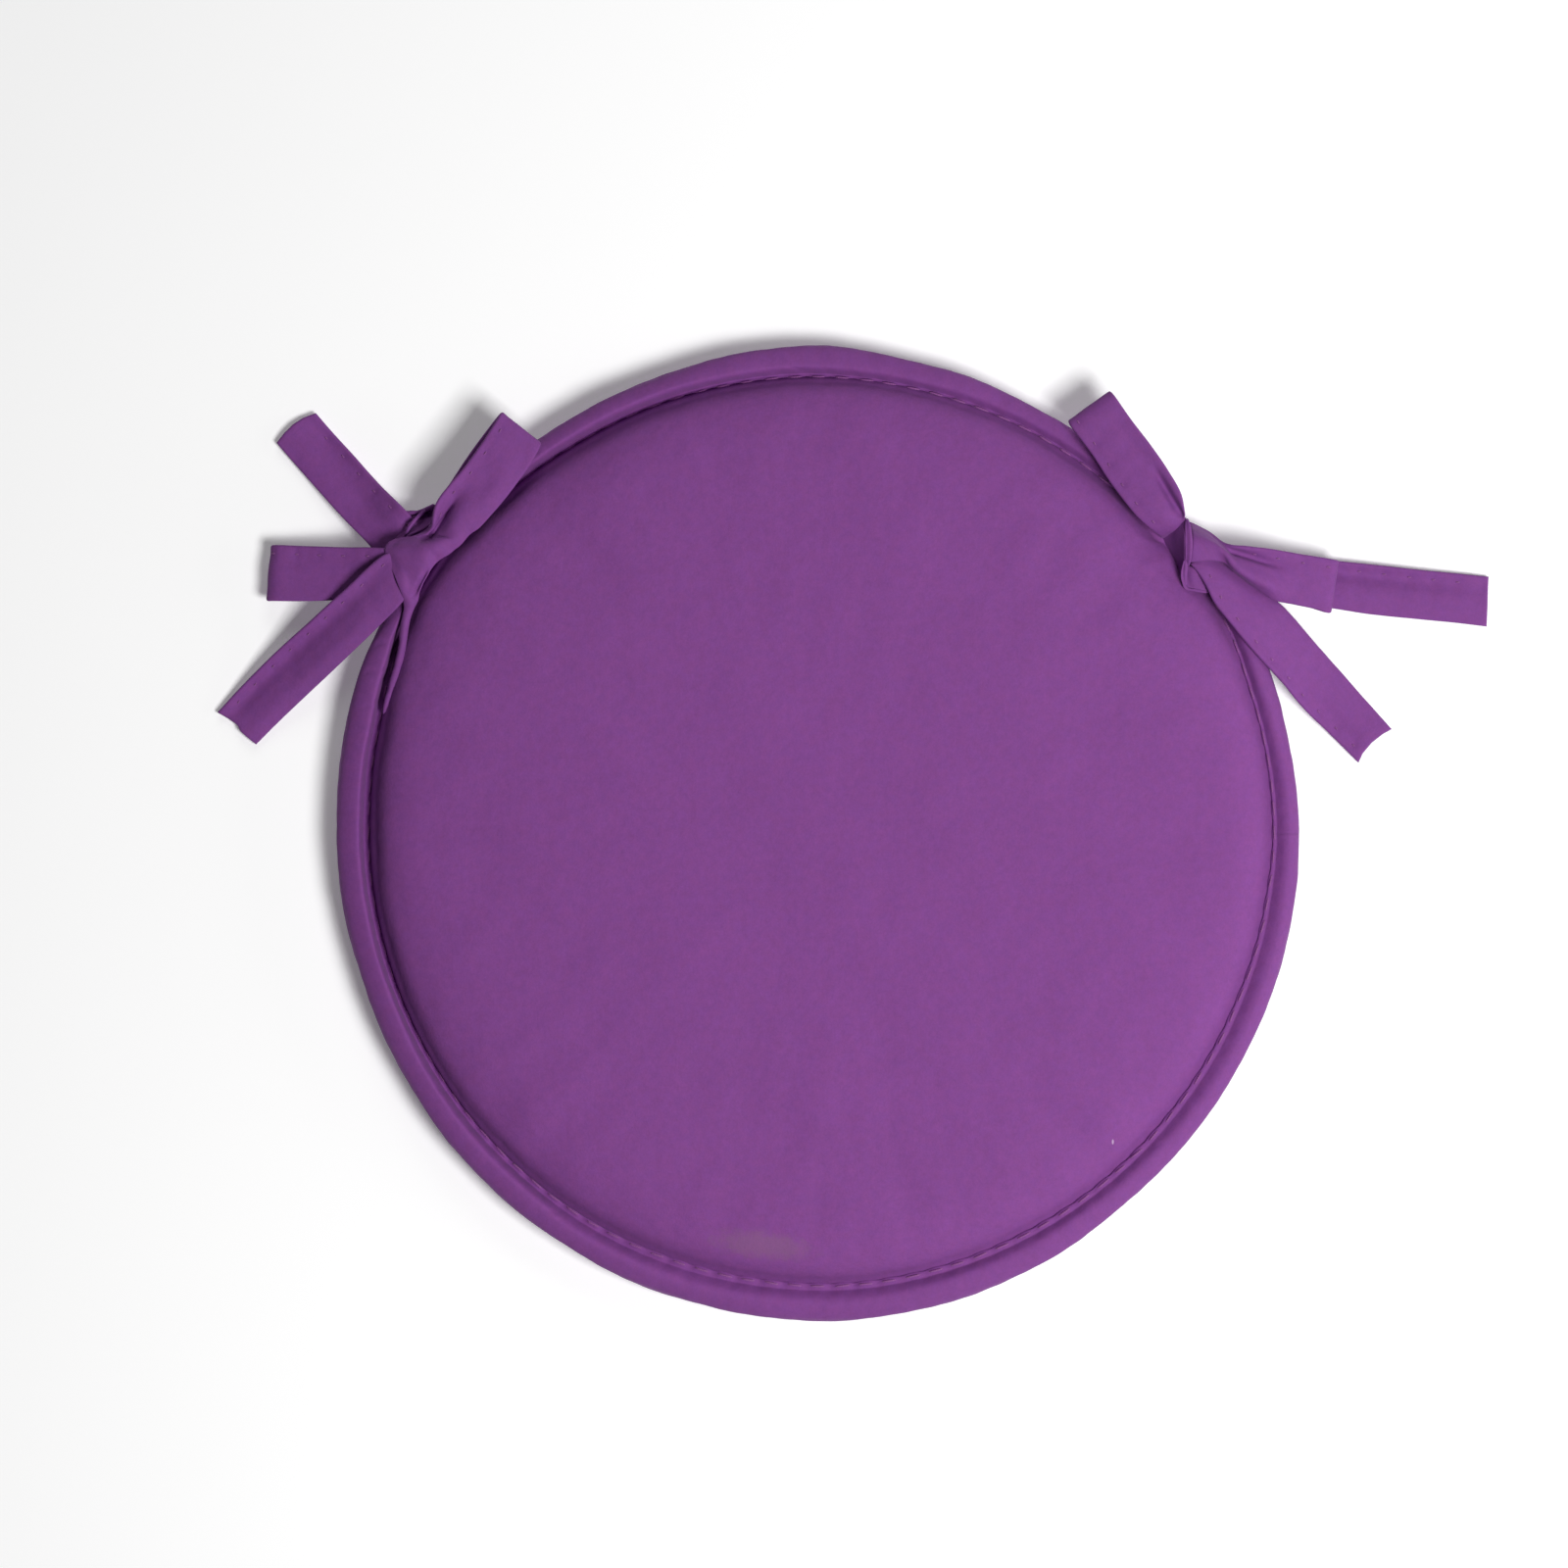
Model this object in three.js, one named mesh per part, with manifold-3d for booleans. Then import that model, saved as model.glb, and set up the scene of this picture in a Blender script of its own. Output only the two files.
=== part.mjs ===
// Round seat cushion: a thin filled pad with a bound edge and two ties, each tied in a bow.
//
// Millimetres, +Z up. The cushion lies on its back: the flat underside is at z = 0 and the
// origin is the middle of it. +Y points to the side that the two ties are sewn to.
// The ties hold the cushion to the back posts of a chair. Here they are tied in bows of two
// loops and two free ends, which hang over the bound edge and slope down to the surface.

import * as THREE from 'three';
import Module from 'manifold-3d';

const wasm = await Module();
wasm.setup();

// Driving dimensions
const EDGE_RADIUS = 150;          // mean radius of the whole cushion, to the outside of the binding
const SEAM_RADIUS = 139.9;        // mean radius of the seam, where the binding's lip meets the panels
const SEAM_SHIFT_X = 0.8;         // the seam's circle lies a little off the middle, so that the
const SEAM_SHIFT_Y = 0.8;         // binding is wider on one side than on the other
const SEAM_HEIGHT = 9;            // height of the seam above the surface
const ROLL_RADIUS = 4.4;          // half the height of the binding's soft roll
const LIP_WIDTH = 2.4;            // from the binding's inner edge to its stitch line
const LIP_BEND = 1;               // over which the lip falls to the stitch line
const LIP_HALF = 2.3;             // half the height of the binding's lip
const STITCH_HALF = 1.8;          // half the height where the stitches pull the binding in
const CROWN_HEIGHT = 24;          // height of the pad at its middle
const PIECE_GAP = 0.4;            // room between the pad's edge and the binding's lip
const TIE_THICK = 1.4;            // a tie is a strip folded double and pressed flat
const TURN_STEPS = 96;            // steps round the cushion
const STRIP_STEPS = 3;            // steps between two rows of a strip's table
const RUN_NUDGE = 0.25;           // part of a step, each way, over which a strip's run is measured

const CLOTH_COLOUR = 0x824a90;

// How far the outline swells past the mean radius, by angle in degrees from +X towards +Y
const OUTLINE = [
  { angle: 0, swell: -0.6 },
  { angle: 15, swell: -1.1 },
  { angle: 37, swell: -1.6 },
  { angle: 60, swell: -1.7 },
  { angle: 75, swell: -0.7 },
  { angle: 92, swell: 1.5 },
  { angle: 112, swell: 0 },
  { angle: 145, swell: 0.4 },
  { angle: 160, swell: 0.9 },
  { angle: 180, swell: -0.2 },
  { angle: 200, swell: -1.1 },
  { angle: 225, swell: -0.1 },
  { angle: 250, swell: 0.9 },
  { angle: 275, swell: 1.7 },
  { angle: 295, swell: 0.9 },
  { angle: 312, swell: -0.6 },
  { angle: 360, swell: -0.6 },
];

// Half section of the pad from the middle of its underside, round its edge, to the middle of its top
const PAD_SECTION = [
  { r: 0, z: 0 },
  { r: 60, z: 0 },
  { r: 124, z: 0 },
  { r: 131, z: 0.8 },
  { r: 136, z: 3.1 },
  { r: 139, z: 6.2 },
  { r: SEAM_RADIUS - PIECE_GAP, z: 7.6 },
  { r: SEAM_RADIUS - PIECE_GAP, z: 10.6 },
  { r: 139, z: 12 },
  { r: 137.6, z: 14.1 },
  { r: 135.2, z: 16.4 },
  { r: 131.4, z: 18.4 },
  { r: 126, z: 20 },
  { r: 118, z: 21.2 },
  { r: 106, z: 22.2 },
  { r: 90, z: 23 },
  { r: 68, z: 23.6 },
  { r: 40, z: 23.9 },
  { r: 0, z: CROWN_HEIGHT },
];

// Places where a tie pulls the cloth of the pad down
const DIMPLES = [
  { x: 112, y: 79, depth: 2, reach: 9 },
  { x: 104, y: 90, depth: 2, reach: 10 },
  { x: -115, y: 80, depth: 0.7, reach: 14 },
];

// Swell of the outline at an angle, eased from one row of the table to the next
function swellAt(angle) {
  const turn = ((angle % 360) + 360) % 360;
  const next = OUTLINE.findIndex((row) => row.angle > turn);
  const from = OUTLINE[next - 1];
  const to = OUTLINE[next];
  const share = THREE.MathUtils.smoothstep(turn, from.angle, to.angle);
  return THREE.MathUtils.lerp(from.swell, to.swell, share);
}

// Radius of the seam at an angle in radians
function seamAt(angle) {
  return SEAM_RADIUS + SEAM_SHIFT_X * Math.cos(angle) + SEAM_SHIFT_Y * Math.sin(angle);
}

// A solid of revolution about +Z from a section of { r, z } rows
function turned(section) {
  const profile = section.map(({ r, z }) => new THREE.Vector2(r, z));
  const geometry = new THREE.LatheGeometry(profile, TURN_STEPS);
  geometry.rotateX(Math.PI / 2);
  return geometry;
}

// Moves each vertex of a turned solid: reshape(radius, angle, z) gives its new radius and height
function reshaped(geometry, reshape) {
  const position = geometry.attributes.position;
  for (let i = 0; i < position.count; i += 1) {
    const x = position.getX(i);
    const y = position.getY(i);
    const angle = Math.atan2(y, x);
    const { r, z } = reshape(Math.hypot(x, y), angle, position.getZ(i));
    position.setXYZ(i, r * Math.cos(angle), r * Math.sin(angle), z);
  }
  return geometry;
}

// The filled pad: it follows the uneven seam near its edge and dips where a tie pulls at it
function padSolid() {
  return reshaped(turned(PAD_SECTION), (radius, angle, height) => {
    const share = THREE.MathUtils.smoothstep(radius, SEAM_RADIUS / 2, SEAM_RADIUS);
    const r = radius + (seamAt(angle) - SEAM_RADIUS) * share;
    let z = height;
    if (height > SEAM_HEIGHT + LIP_HALF) {
      for (const dimple of DIMPLES) {
        const away = Math.hypot(r * Math.cos(angle) - dimple.x, r * Math.sin(angle) - dimple.y);
        z -= dimple.depth * Math.exp(-((away / dimple.reach) ** 2));
      }
    }
    return { r, z };
  });
}

// Section of the binding: lip, stitch line, soft roll, and the same again below, closed on itself
function bindingSection() {
  const rollRadius = EDGE_RADIUS - ROLL_RADIUS;
  const stitchRadius = SEAM_RADIUS + LIP_WIDTH;
  const roll = [130, 100, 70, 40, 13, -13, -40, -70, -100, -130].map((degrees) => {
    const turn = THREE.MathUtils.degToRad(degrees);
    return {
      r: rollRadius + ROLL_RADIUS * Math.cos(turn),
      z: SEAM_HEIGHT + ROLL_RADIUS * Math.sin(turn),
    };
  });
  const start = { r: SEAM_RADIUS, z: SEAM_HEIGHT + LIP_HALF };
  const above = [
    start,
    { r: stitchRadius - LIP_BEND, z: start.z },
    { r: stitchRadius, z: SEAM_HEIGHT + STITCH_HALF },
  ];
  const below = above.map(({ r, z }) => ({ r, z: 2 * SEAM_HEIGHT - z })).reverse();
  return [...above, ...roll, ...below, start].reverse();
}

// The edge binding: its inside follows the seam and its outside the uneven outline
function bindingSolid() {
  return reshaped(turned(bindingSection()), (radius, angle, z) => {
    const share = (radius - SEAM_RADIUS) / (EDGE_RADIUS - SEAM_RADIUS);
    const inner = seamAt(angle);
    const outer = EDGE_RADIUS + swellAt(THREE.MathUtils.radToDeg(angle));
    return { r: THREE.MathUtils.lerp(inner, outer, share), z };
  });
}

// A strip of cloth is a table with a row for each place along it: the point a on one long edge, the
// point b on the other, the thickness and how far the middle stands proud of the two edges.
function rowsOf(table) {
  return table.map(([ax, ay, az, bx, by, bz, thick = TIE_THICK, ridge = 0]) => ({
    a: new THREE.Vector3(ax, ay, az),
    b: new THREE.Vector3(bx, by, bz),
    thick,
    ridge,
  }));
}

// Section of a strip: share of the way from a to b, and height in halves of the thickness
function stripSection(edge) {
  return [
    { across: 0, lift: 0 },
    { across: edge, lift: 1 },
    { across: 0.5, lift: 1 },
    { across: 1 - edge, lift: 1 },
    { across: 1, lift: 0 },
    { across: 1 - edge, lift: -1 },
    { across: 0.5, lift: -1 },
    { across: edge, lift: -1 },
  ];
}

// Closed solid of one strip. Its two edges are smooth curves through the table's points, edge is the
// share of the width that is rounded off, and bulge is how far the last end bows out in its middle.
function stripSolid({ table, edge = 0.05, bulge = 0 }) {
  const rows = rowsOf(table);
  const curveA = new THREE.CatmullRomCurve3(rows.map((row) => row.a), false, 'centripetal');
  const curveB = new THREE.CatmullRomCurve3(rows.map((row) => row.b), false, 'centripetal');
  const section = stripSection(edge);
  const last = (rows.length - 1) * STRIP_STEPS;
  const nudge = RUN_NUDGE / last;
  const middleAt = (t) => curveA.getPoint(t).lerp(curveB.getPoint(t), 0.5);
  const points = [];
  for (let step = 0; step <= last; step += 1) {
    const t = step / last;
    const from = rows[Math.min(Math.floor(step / STRIP_STEPS), rows.length - 2)];
    const to = rows[rows.indexOf(from) + 1];
    const share = step / STRIP_STEPS - rows.indexOf(from);
    const thick = THREE.MathUtils.lerp(from.thick, to.thick, share);
    const ridge = THREE.MathUtils.lerp(from.ridge, to.ridge, share);
    const side = curveB.getPoint(t).sub(curveA.getPoint(t));
    const run = middleAt(Math.min(t + nudge, 1)).sub(middleAt(Math.max(t - nudge, 0))).normalize();
    const up = side.clone().cross(run).normalize();
    for (const { across, lift } of section) {
      const crown = 1 - (2 * across - 1) ** 2;
      const reach = step === last ? bulge * crown : 0;
      const height = lift * thick / 2 + ridge * crown;
      const point = curveA.getPoint(t).addScaledVector(side, across);
      points.push(point.addScaledVector(up, height).addScaledVector(run, reach));
    }
  }
  return closedTube(points, section.length);
}

// Joins rings of points into a closed tube with flat ends, its faces pointing out
function closedTube(points, size) {
  const rings = points.length / size;
  const faces = [];
  for (let ring = 0; ring < rings - 1; ring += 1) {
    for (let i = 0; i < size; i += 1) {
      const a = ring * size + i;
      const b = ring * size + ((i + 1) % size);
      faces.push([a, b, b + size], [a, b + size, a + size]);
    }
  }
  for (let i = 1; i < size - 1; i += 1) {
    const end = (rings - 1) * size;
    faces.push([0, i + 1, i], [end, end + i, end + i + 1]);
  }
  const cornerVolume = ([a, b, c]) => points[a].dot(points[b].clone().cross(points[c]));
  const volume = faces.reduce((sum, face) => sum + cornerVolume(face), 0);
  const outward = volume > 0 ? faces : faces.map(([a, b, c]) => [a, c, b]);
  return new wasm.Manifold(new wasm.Mesh({
    numProp: 3,
    vertProperties: new Float32Array(points.flatMap((point) => point.toArray())),
    triVerts: new Uint32Array(outward.flat()),
  }));
}

// One tie: its strips meet in the knot, where they are drawn together into one solid
function tieSolid(strips) {
  const solid = strips.map(stripSolid).reduce((sum, strip) => sum.add(strip));
  const { vertProperties, triVerts, numProp } = solid.getMesh();
  const geometry = new THREE.BufferGeometry();
  const corners = new THREE.InterleavedBuffer(vertProperties, numProp);
  geometry.setAttribute('position', new THREE.InterleavedBufferAttribute(corners, 3, 0));
  geometry.setIndex(new THREE.BufferAttribute(triVerts, 1));
  return geometry;
}

// How the strips of each tie lie, from the knot outwards, as seen from above.
// Columns of each table: ax, ay, az, bx, by, bz, thickness, ridge
const LEFT_TIE = {
  upperEnd: {
    bulge: 1.5,
    table: [
      [-130.1, 81.3, 14.5, -121.5, 92.0, 14.5],
      [-135.2, 84.4, 12.8, -124.9, 96.6, 12.8],
      [-140.0, 89.7, 10.2, -128.8, 101.0, 10.2],
      [-147.7, 97.8, 6.3, -136.5, 108.4, 6.3],
      [-156.0, 106.9, 3.0, -144.4, 117.3, 3.0],
      [-163.0, 114.8, 1.2, -151.1, 124.6, 1.2],
      [-168.4, 121.2, 1.5, -156.3, 130.5, 1.7],
    ],
  },
  outerLoop: {
    table: [
      [-124.9, 79.2, 16, -124.9, 86.5, 16],
      [-131.0, 79.2, 15, -132.5, 88.3, 15, TIE_THICK, 0.6],
      [-137.1, 76.1, 13, -138.6, 88.8, 13, TIE_THICK, 0.4],
      [-144.7, 72.8, 11, -146.2, 88.8, 11.2],
      [-152.3, 72.2, 9.4, -153.8, 89.0, 9.6],
      [-161.4, 72.0, 8, -161.4, 89.3, 8],
      [-169.4, 72.0, 7, -168.1, 89.6, 7],
      [-171.0, 72.0, 5.4, -169.7, 89.5, 5.4],
      [-169.7, 72.1, 3.9, -168.4, 89.2, 3.9],
      [-161.4, 72.5, 4.6, -161.1, 88.3, 4.6],
      [-150.8, 73.7, 7, -150.8, 87.7, 7],
      [-140.1, 76.8, 10.6, -140.1, 86.8, 10.6],
      [-131.9, 79.2, 13, -131.9, 86.2, 13],
      [-124.9, 79.8, 14, -124.9, 85.9, 14],
    ],
  },
  lowerEnd: {
    bulge: -0.6,
    table: [
      [-122.8, 77.4, 17, -130.1, 87.7, 17],
      [-129.2, 71.9, 17.2, -134.9, 86.5, 17.2],
      [-136.2, 64.6, 14.2, -147.1, 75.8, 14.2],
      [-142.9, 58.2, 11.5, -154.1, 69.4, 11.5],
      [-152.0, 49.3, 7.8, -163.3, 61.2, 7.8],
      [-160.8, 41.1, 4.4, -172.1, 53.0, 4.4],
      [-168.1, 34.1, 2, -179.7, 45.1, 2],
      [-174.8, 27.4, 0.95, -186.9, 37.5, 0.95],
    ],
  },
  upperLoop: {
    table: [
      [-127.0, 86.5, 17, -121.5, 81.0, 17],
      [-122.1, 92.0, 18.5, -115.4, 87.4, 18, TIE_THICK, 0.8],
      [-118.8, 100.5, 19.6, -110.0, 92.0, 18.6, TIE_THICK, 0.8],
      [-115.7, 107.5, 19.8, -103.9, 97.2, 18.8],
      [-112.1, 112.7, 19.4, -99.3, 101.4, 18.6],
      [-107.2, 119.1, 18.8, -93.8, 108.4, 18.2],
      [-102.0, 125.5, 18, -89.9, 115.7, 17.4],
      [-98.1, 130.7, 16.2, -88.3, 122.8, 16.2],
      [-99.3, 129.8, 14.8, -89.6, 121.8, 14.8],
      [-106.3, 121.8, 14.7, -92.9, 112.1, 14.7],
      [-114.2, 110.3, 14.8, -102.0, 102.0, 14.8],
      [-119.1, 100.5, 15, -110.6, 94.4, 15],
      [-123.4, 91.4, 15.5, -117.3, 86.5, 15.5],
    ],
  },
  knot: {
    edge: 0.22,
    table: [
      [-118.2, 93.5, 13.6, -130.1, 92.6, 13.6, 3],
      [-116.1, 89.9, 16.4, -133.7, 89.6, 16.4, 7],
      [-117.3, 85.9, 17.6, -134.3, 85.9, 17.6, 8],
      [-119.7, 80.4, 17.8, -131.9, 79.2, 17.8, 7.6],
      [-122.4, 75.5, 17, -129.8, 74.3, 17, 5.6],
      [-124.9, 71.3, 16, -128.8, 70.7, 16, 3.6],
    ],
  },
  root: {
    edge: 0.25,
    table: [
      [-125.5, 74.3, 15.6, -127.9, 74.3, 15.6, 3],
      [-126.7, 69.4, 15.4, -129.2, 69.4, 15.4, 3],
      [-128.1, 64.0, 15.2, -130.4, 64.0, 15.2, 3],
      [-129.3, 57.9, 14.9, -131.4, 57.9, 14.9, 3],
      [-130.8, 51.8, 13.9, -132.8, 51.8, 13.9, 3],
      [-132.2, 45.7, 13.1, -133.7, 45.7, 13.1, 2.6],
    ],
  },
};

const RIGHT_TIE = {
  upperLoop: {
    table: [
      [108.7, 89.6, 17, 115.4, 92.0, 17],
      [105.1, 92.6, 18.3, 113.8, 98.1, 18.8, TIE_THICK, 0.8],
      [100.8, 96.6, 19.2, 112.7, 105.1, 19.8, TIE_THICK, 0.5],
      [95.9, 102.0, 19.4, 108.7, 112.4, 20],
      [90.2, 109.7, 19.2, 103.3, 120.6, 19.8],
      [85.0, 117.6, 18.6, 97.2, 128.5, 19.2],
      [78.6, 126.4, 17.8, 92.0, 135.9, 18.2],
      [77.7, 127.6, 16.4, 91.1, 137.1, 16.7],
      [78.6, 126.4, 15, 92.0, 135.9, 15.1],
      [85.6, 116.7, 14.8, 97.2, 127.3, 14.8],
      [91.1, 109.0, 14.8, 103.0, 119.4, 14.8],
      [97.5, 100.2, 15, 109.4, 109.7, 15],
      [105.1, 92.6, 15.5, 112.7, 98.7, 15.5],
      [108.7, 89.6, 15.5, 114.8, 92.0, 15.5],
    ],
  },
  outerLoop: {
    table: [
      [114.8, 94.4, 17.5, 115.4, 83.8, 17.5],
      [120.9, 92.9, 18.2, 121.8, 84.4, 18.4, TIE_THICK, 0.6],
      [128.8, 89.6, 17.6, 130.1, 82.9, 18.4, TIE_THICK, 1],
      [135.5, 89.4, 15.4, 135.5, 76.8, 15.8, TIE_THICK, 0.5],
      [142.6, 88.3, 12.8, 141.6, 72.2, 12.8],
      [149.6, 86.8, 10.8, 148.3, 70.8, 10.8],
      [156.9, 85.6, 9.2, 155.0, 69.4, 9.2],
      [160.2, 85.0, 8.4, 157.8, 68.5, 8.4],
      [161.1, 84.8, 7, 158.7, 68.4, 7],
      [159.9, 85.0, 5.7, 157.5, 68.5, 5.7],
      [150.8, 86.2, 7.4, 149.6, 71.0, 7.4],
      [140.1, 87.7, 11, 138.6, 74.9, 11],
      [130.1, 88.9, 15.4, 128.8, 82.2, 16],
      [120.3, 91.4, 16, 120.3, 84.7, 16.4],
    ],
  },
  longEnd: {
    table: [
      [115.4, 92.9, 14.8, 115.4, 82.2, 14.8],
      [122.8, 89.9, 14.4, 122.1, 79.2, 14.4],
      [131.0, 88.0, 11.6, 130.1, 76.1, 11.8],
      [141.6, 86.5, 7.4, 141.0, 72.5, 7.4],
      [150.8, 85.3, 4.4, 149.6, 70.7, 4.4],
      [161.1, 84.5, 2.3, 160.5, 69.6, 2.3],
      [172.1, 83.5, 1.1, 170.9, 68.1, 1.1],
      [187.3, 81.8, 0.9, 186.1, 66.4, 0.9],
      [208.3, 79.7, 0.9, 207.7, 64.1, 0.9],
    ],
  },
  lowerEnd: {
    bulge: -1.4,
    table: [
      [120.9, 87.7, 15, 112.4, 81.0, 15],
      [127.0, 83.2, 14.6, 116.4, 79.2, 14.9],
      [132.5, 78.9, 14.0, 121.5, 74.0, 15.0],
      [138.6, 75.2, 12.2, 127.9, 65.5, 15.2],
      [145.3, 69.4, 8.6, 134.0, 57.9, 15.1],
      [152.9, 58.8, 5.2, 142.6, 48.4, 11.6],
      [161.1, 49.6, 2.4, 150.2, 39.3, 5.6],
      [169.7, 41.1, 1.1, 159.0, 30.6, 2],
      [178.2, 32.6, 0.9, 167.8, 21.7, 0.9],
    ],
  },
  knot: {
    edge: 0.22,
    table: [
      [117.9, 96.9, 15.6, 111.2, 97.5, 15.6, 3],
      [122.1, 92.6, 17.4, 106.3, 92.6, 17.4, 6.4],
      [122.8, 88.3, 18, 108.1, 88.3, 18, 7.6],
      [122.1, 83.5, 17.8, 110.6, 82.9, 17.8, 7],
      [120.3, 78.6, 17.1, 112.4, 78.6, 17.1, 5],
      [118.5, 75.2, 16.4, 113.6, 75.5, 16.4, 3],
    ],
  },
  root: {
    edge: 0.25,
    table: [
      [118.2, 92.0, 16.6, 112.0, 90.0, 16.6, 3],
      [114.4, 89.4, 15.4, 110.2, 86.8, 15.4, 2.4],
      [112.4, 87.2, 13.1, 110.6, 85.8, 13.1, 1.8],
    ],
  },
};

const cushion = new THREE.Group();

// Adds one named piece in the cushion's cloth
function add(name, geometry) {
  const material = new THREE.MeshStandardMaterial({ color: CLOTH_COLOUR, roughness: 0.8, metalness: 0 });
  const mesh = new THREE.Mesh(geometry, material);
  mesh.name = name;
  cushion.add(mesh);
}

add('pad', padSolid());
add('edge_binding', bindingSolid());
add('tie_left', tieSolid(Object.values(LEFT_TIE)));
add('tie_right', tieSolid(Object.values(RIGHT_TIE)));

export default cushion;
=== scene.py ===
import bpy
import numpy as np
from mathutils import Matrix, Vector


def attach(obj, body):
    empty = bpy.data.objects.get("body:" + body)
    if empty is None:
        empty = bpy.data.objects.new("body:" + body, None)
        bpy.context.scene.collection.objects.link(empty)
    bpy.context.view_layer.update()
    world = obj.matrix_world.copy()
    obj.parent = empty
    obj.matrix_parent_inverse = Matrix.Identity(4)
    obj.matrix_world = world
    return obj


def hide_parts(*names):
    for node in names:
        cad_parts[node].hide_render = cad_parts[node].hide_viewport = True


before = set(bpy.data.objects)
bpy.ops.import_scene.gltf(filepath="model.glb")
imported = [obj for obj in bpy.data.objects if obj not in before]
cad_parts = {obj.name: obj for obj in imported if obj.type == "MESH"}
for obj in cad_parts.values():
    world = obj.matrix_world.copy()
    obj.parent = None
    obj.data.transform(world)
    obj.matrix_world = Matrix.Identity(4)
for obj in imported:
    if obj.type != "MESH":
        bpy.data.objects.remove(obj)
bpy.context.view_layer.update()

# Round seat cushion of purple cloth: a filled pad with a bound, topstitched edge and two ties, each
# tied in a bow. Shapes are worked out in millimetres and put into the meshes in metres. They follow
# the main forms of the solids, with finer relief added to them.

MM = 0.001

# Driving dimensions, in millimetres
EDGE_RADIUS = 150.0
SEAM_RADIUS = 139.9
SEAM_HEIGHT = 9.0
SEAM_TUCK = 0.5
CROWN_HEIGHT = 24.0
TIE_THICK = 1.4
BINDING_STITCH_PITCH = 7.4
TIE_STITCH_PITCH = 7.8
BINDING_STITCHES = round(2 * np.pi * (SEAM_RADIUS + 1) / BINDING_STITCH_PITCH)
BINDING_STITCH_LENGTH = 5.0

# How far the outline swells past the mean radius: angle in degrees, swell
OUTLINE = [
    (0, -0.6), (15, -1.1), (37, -1.6), (60, -1.7), (75, -0.7), (92, 1.5), (112, 0.0), (145, 0.4), (160, 0.9),
    (180, -0.2), (200, -1.1), (225, -0.1), (250, 0.9), (275, 1.7), (295, 0.9), (312, -0.6), (360, -0.6),
]

# Half section of the pad, from the middle of its underside to the middle of its top: radius, height
PAD_SECTION = [
    (0, 0), (60, 0), (124, 0), (131, 0.8), (136, 3.1), (139, 6.2),
    (SEAM_RADIUS + SEAM_TUCK, 7.6), (SEAM_RADIUS + SEAM_TUCK, 9.6),
    (139, 12), (137.6, 14.1), (135.2, 16.4), (131.4, 18.4), (126, 20), (118, 21.2), (106, 22.2),
    (90, 23), (68, 23.6), (40, 23.9), (0, CROWN_HEIGHT),
]

# Places where a tie pulls the pad's cloth down: x, y, depth, reach
DIMPLES = [(112, 79, 2.0, 9), (104, 90, 2.0, 10), (-115, 80, 0.7, 14)]

# Place of the stitches across the binding, on the lip that lies between the seam and the valley
STITCH_PLACE = 0.45

# Upper half of the binding's section, from its inner face outwards: the place along its three
# stretches (0 the seam, 1 the valley, 2 the roll's crest, 3 the outline), the shares of the lip's
# and of the crest's height that its own height has, and a fixed rise.
BINDING_SECTION = [
    (0, 0, 0, 0), (0, 1, 0, -1.1), (0.07, 1, 0, -0.5), (0.22, 1, 0, -0.12), (STITCH_PLACE, 1, 0, 0),
    (0.70, 1, 0, -0.08), (0.88, 1, 0, -0.25), (1.0, 1, 0, -0.45), (1.1, 0.84, 0.16, -0.38),
    (1.25, 0.62, 0.38, -0.28), (1.45, 0.35, 0.65, -0.16), (1.7, 0.11, 0.89, -0.05), (2, 0, 1, 0),
    (2.27, 0, 0.955, 0), (2.53, 0, 0.826, 0), (2.78, 0, 0.63, 0), (2.93, 0, 0.42, 0),
    (2.985, 0, 0.22, 0), (3, 0, 0, 0),
]

# How the binding lies round the turn: angle in degrees, shares of its width at the valley and at the
# crest, heights of the lip and of the crest above the seam. The last line is for its underside.
BINDING_LIE = [
    (0, 0.14, 0.57, 2.6, 4.2), (20, 0.12, 0.50, 2.3, 4.2), (30, 0.09, 0.44, 1.2, 4.2),
    (48, 0.12, 0.45, 2.1, 4.2), (70, 0.11, 0.41, 1.9, 4.3), (80, 0.10, 0.35, 1.0, 4.4),
    (95, 0.16, 0.37, 0.1, 4.7), (112, 0.20, 0.44, -0.6, 5.3), (130, 0.20, 0.42, -0.8, 5.4),
    (165, 0.22, 0.34, -1.2, 5.9), (178, 0.24, 0.36, -1.6, 5.9), (197, 0.22, 0.34, -1.6, 5.8),
    (213, 0.19, 0.37, -1.2, 5.5), (227, 0.18, 0.42, -0.1, 5.2), (240, 0.20, 0.51, 0.7, 5.0),
    (255, 0.20, 0.56, 1.6, 4.7), (270, 0.19, 0.53, 2.0, 4.5), (285, 0.18, 0.49, 2.3, 4.5),
    (300, 0.18, 0.46, 2.6, 4.4), (315, 0.19, 0.53, 2.7, 4.3), (330, 0.19, 0.59, 2.7, 4.2),
    (345, 0.17, 0.60, 2.7, 4.2), (360, 0.14, 0.57, 2.6, 4.2),
]
UNDER_LIE = (0.25, 0.55, 2.4, 4.4)

# Radius of the seam round the turn: angle in degrees, radius. It runs a little off the middle.
SEAM_LINE = [
    (0, 141.0), (18, 140.9), (27, 142.0), (34, 142.0), (46, 140.5), (70, 140.7), (90, 141.1),
    (120, 141.4), (132, 142.2), (138, 143.3), (144, 144.6), (149, 144.4), (154, 142.8),
    (160, 141.0), (167, 139.4), (178, 138.7), (200, 138.6), (225, 138.9), (245, 139.3),
    (260, 139.4), (275, 139.8), (300, 139.4), (320, 139.3), (335, 139.6), (350, 140.3), (360, 141.0),
]

# Plane waves in one layer of unevenness, and the least and most that each length is scaled by
WAVE_COUNT = 14
WAVE_SPREAD = (0.75, 1.35)


def ease(share):
    """Smooth step: share² (3 - 2 share), held to 0..1."""
    share = np.clip(share, 0, 1)
    return share * share * (3 - 2 * share)


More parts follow.
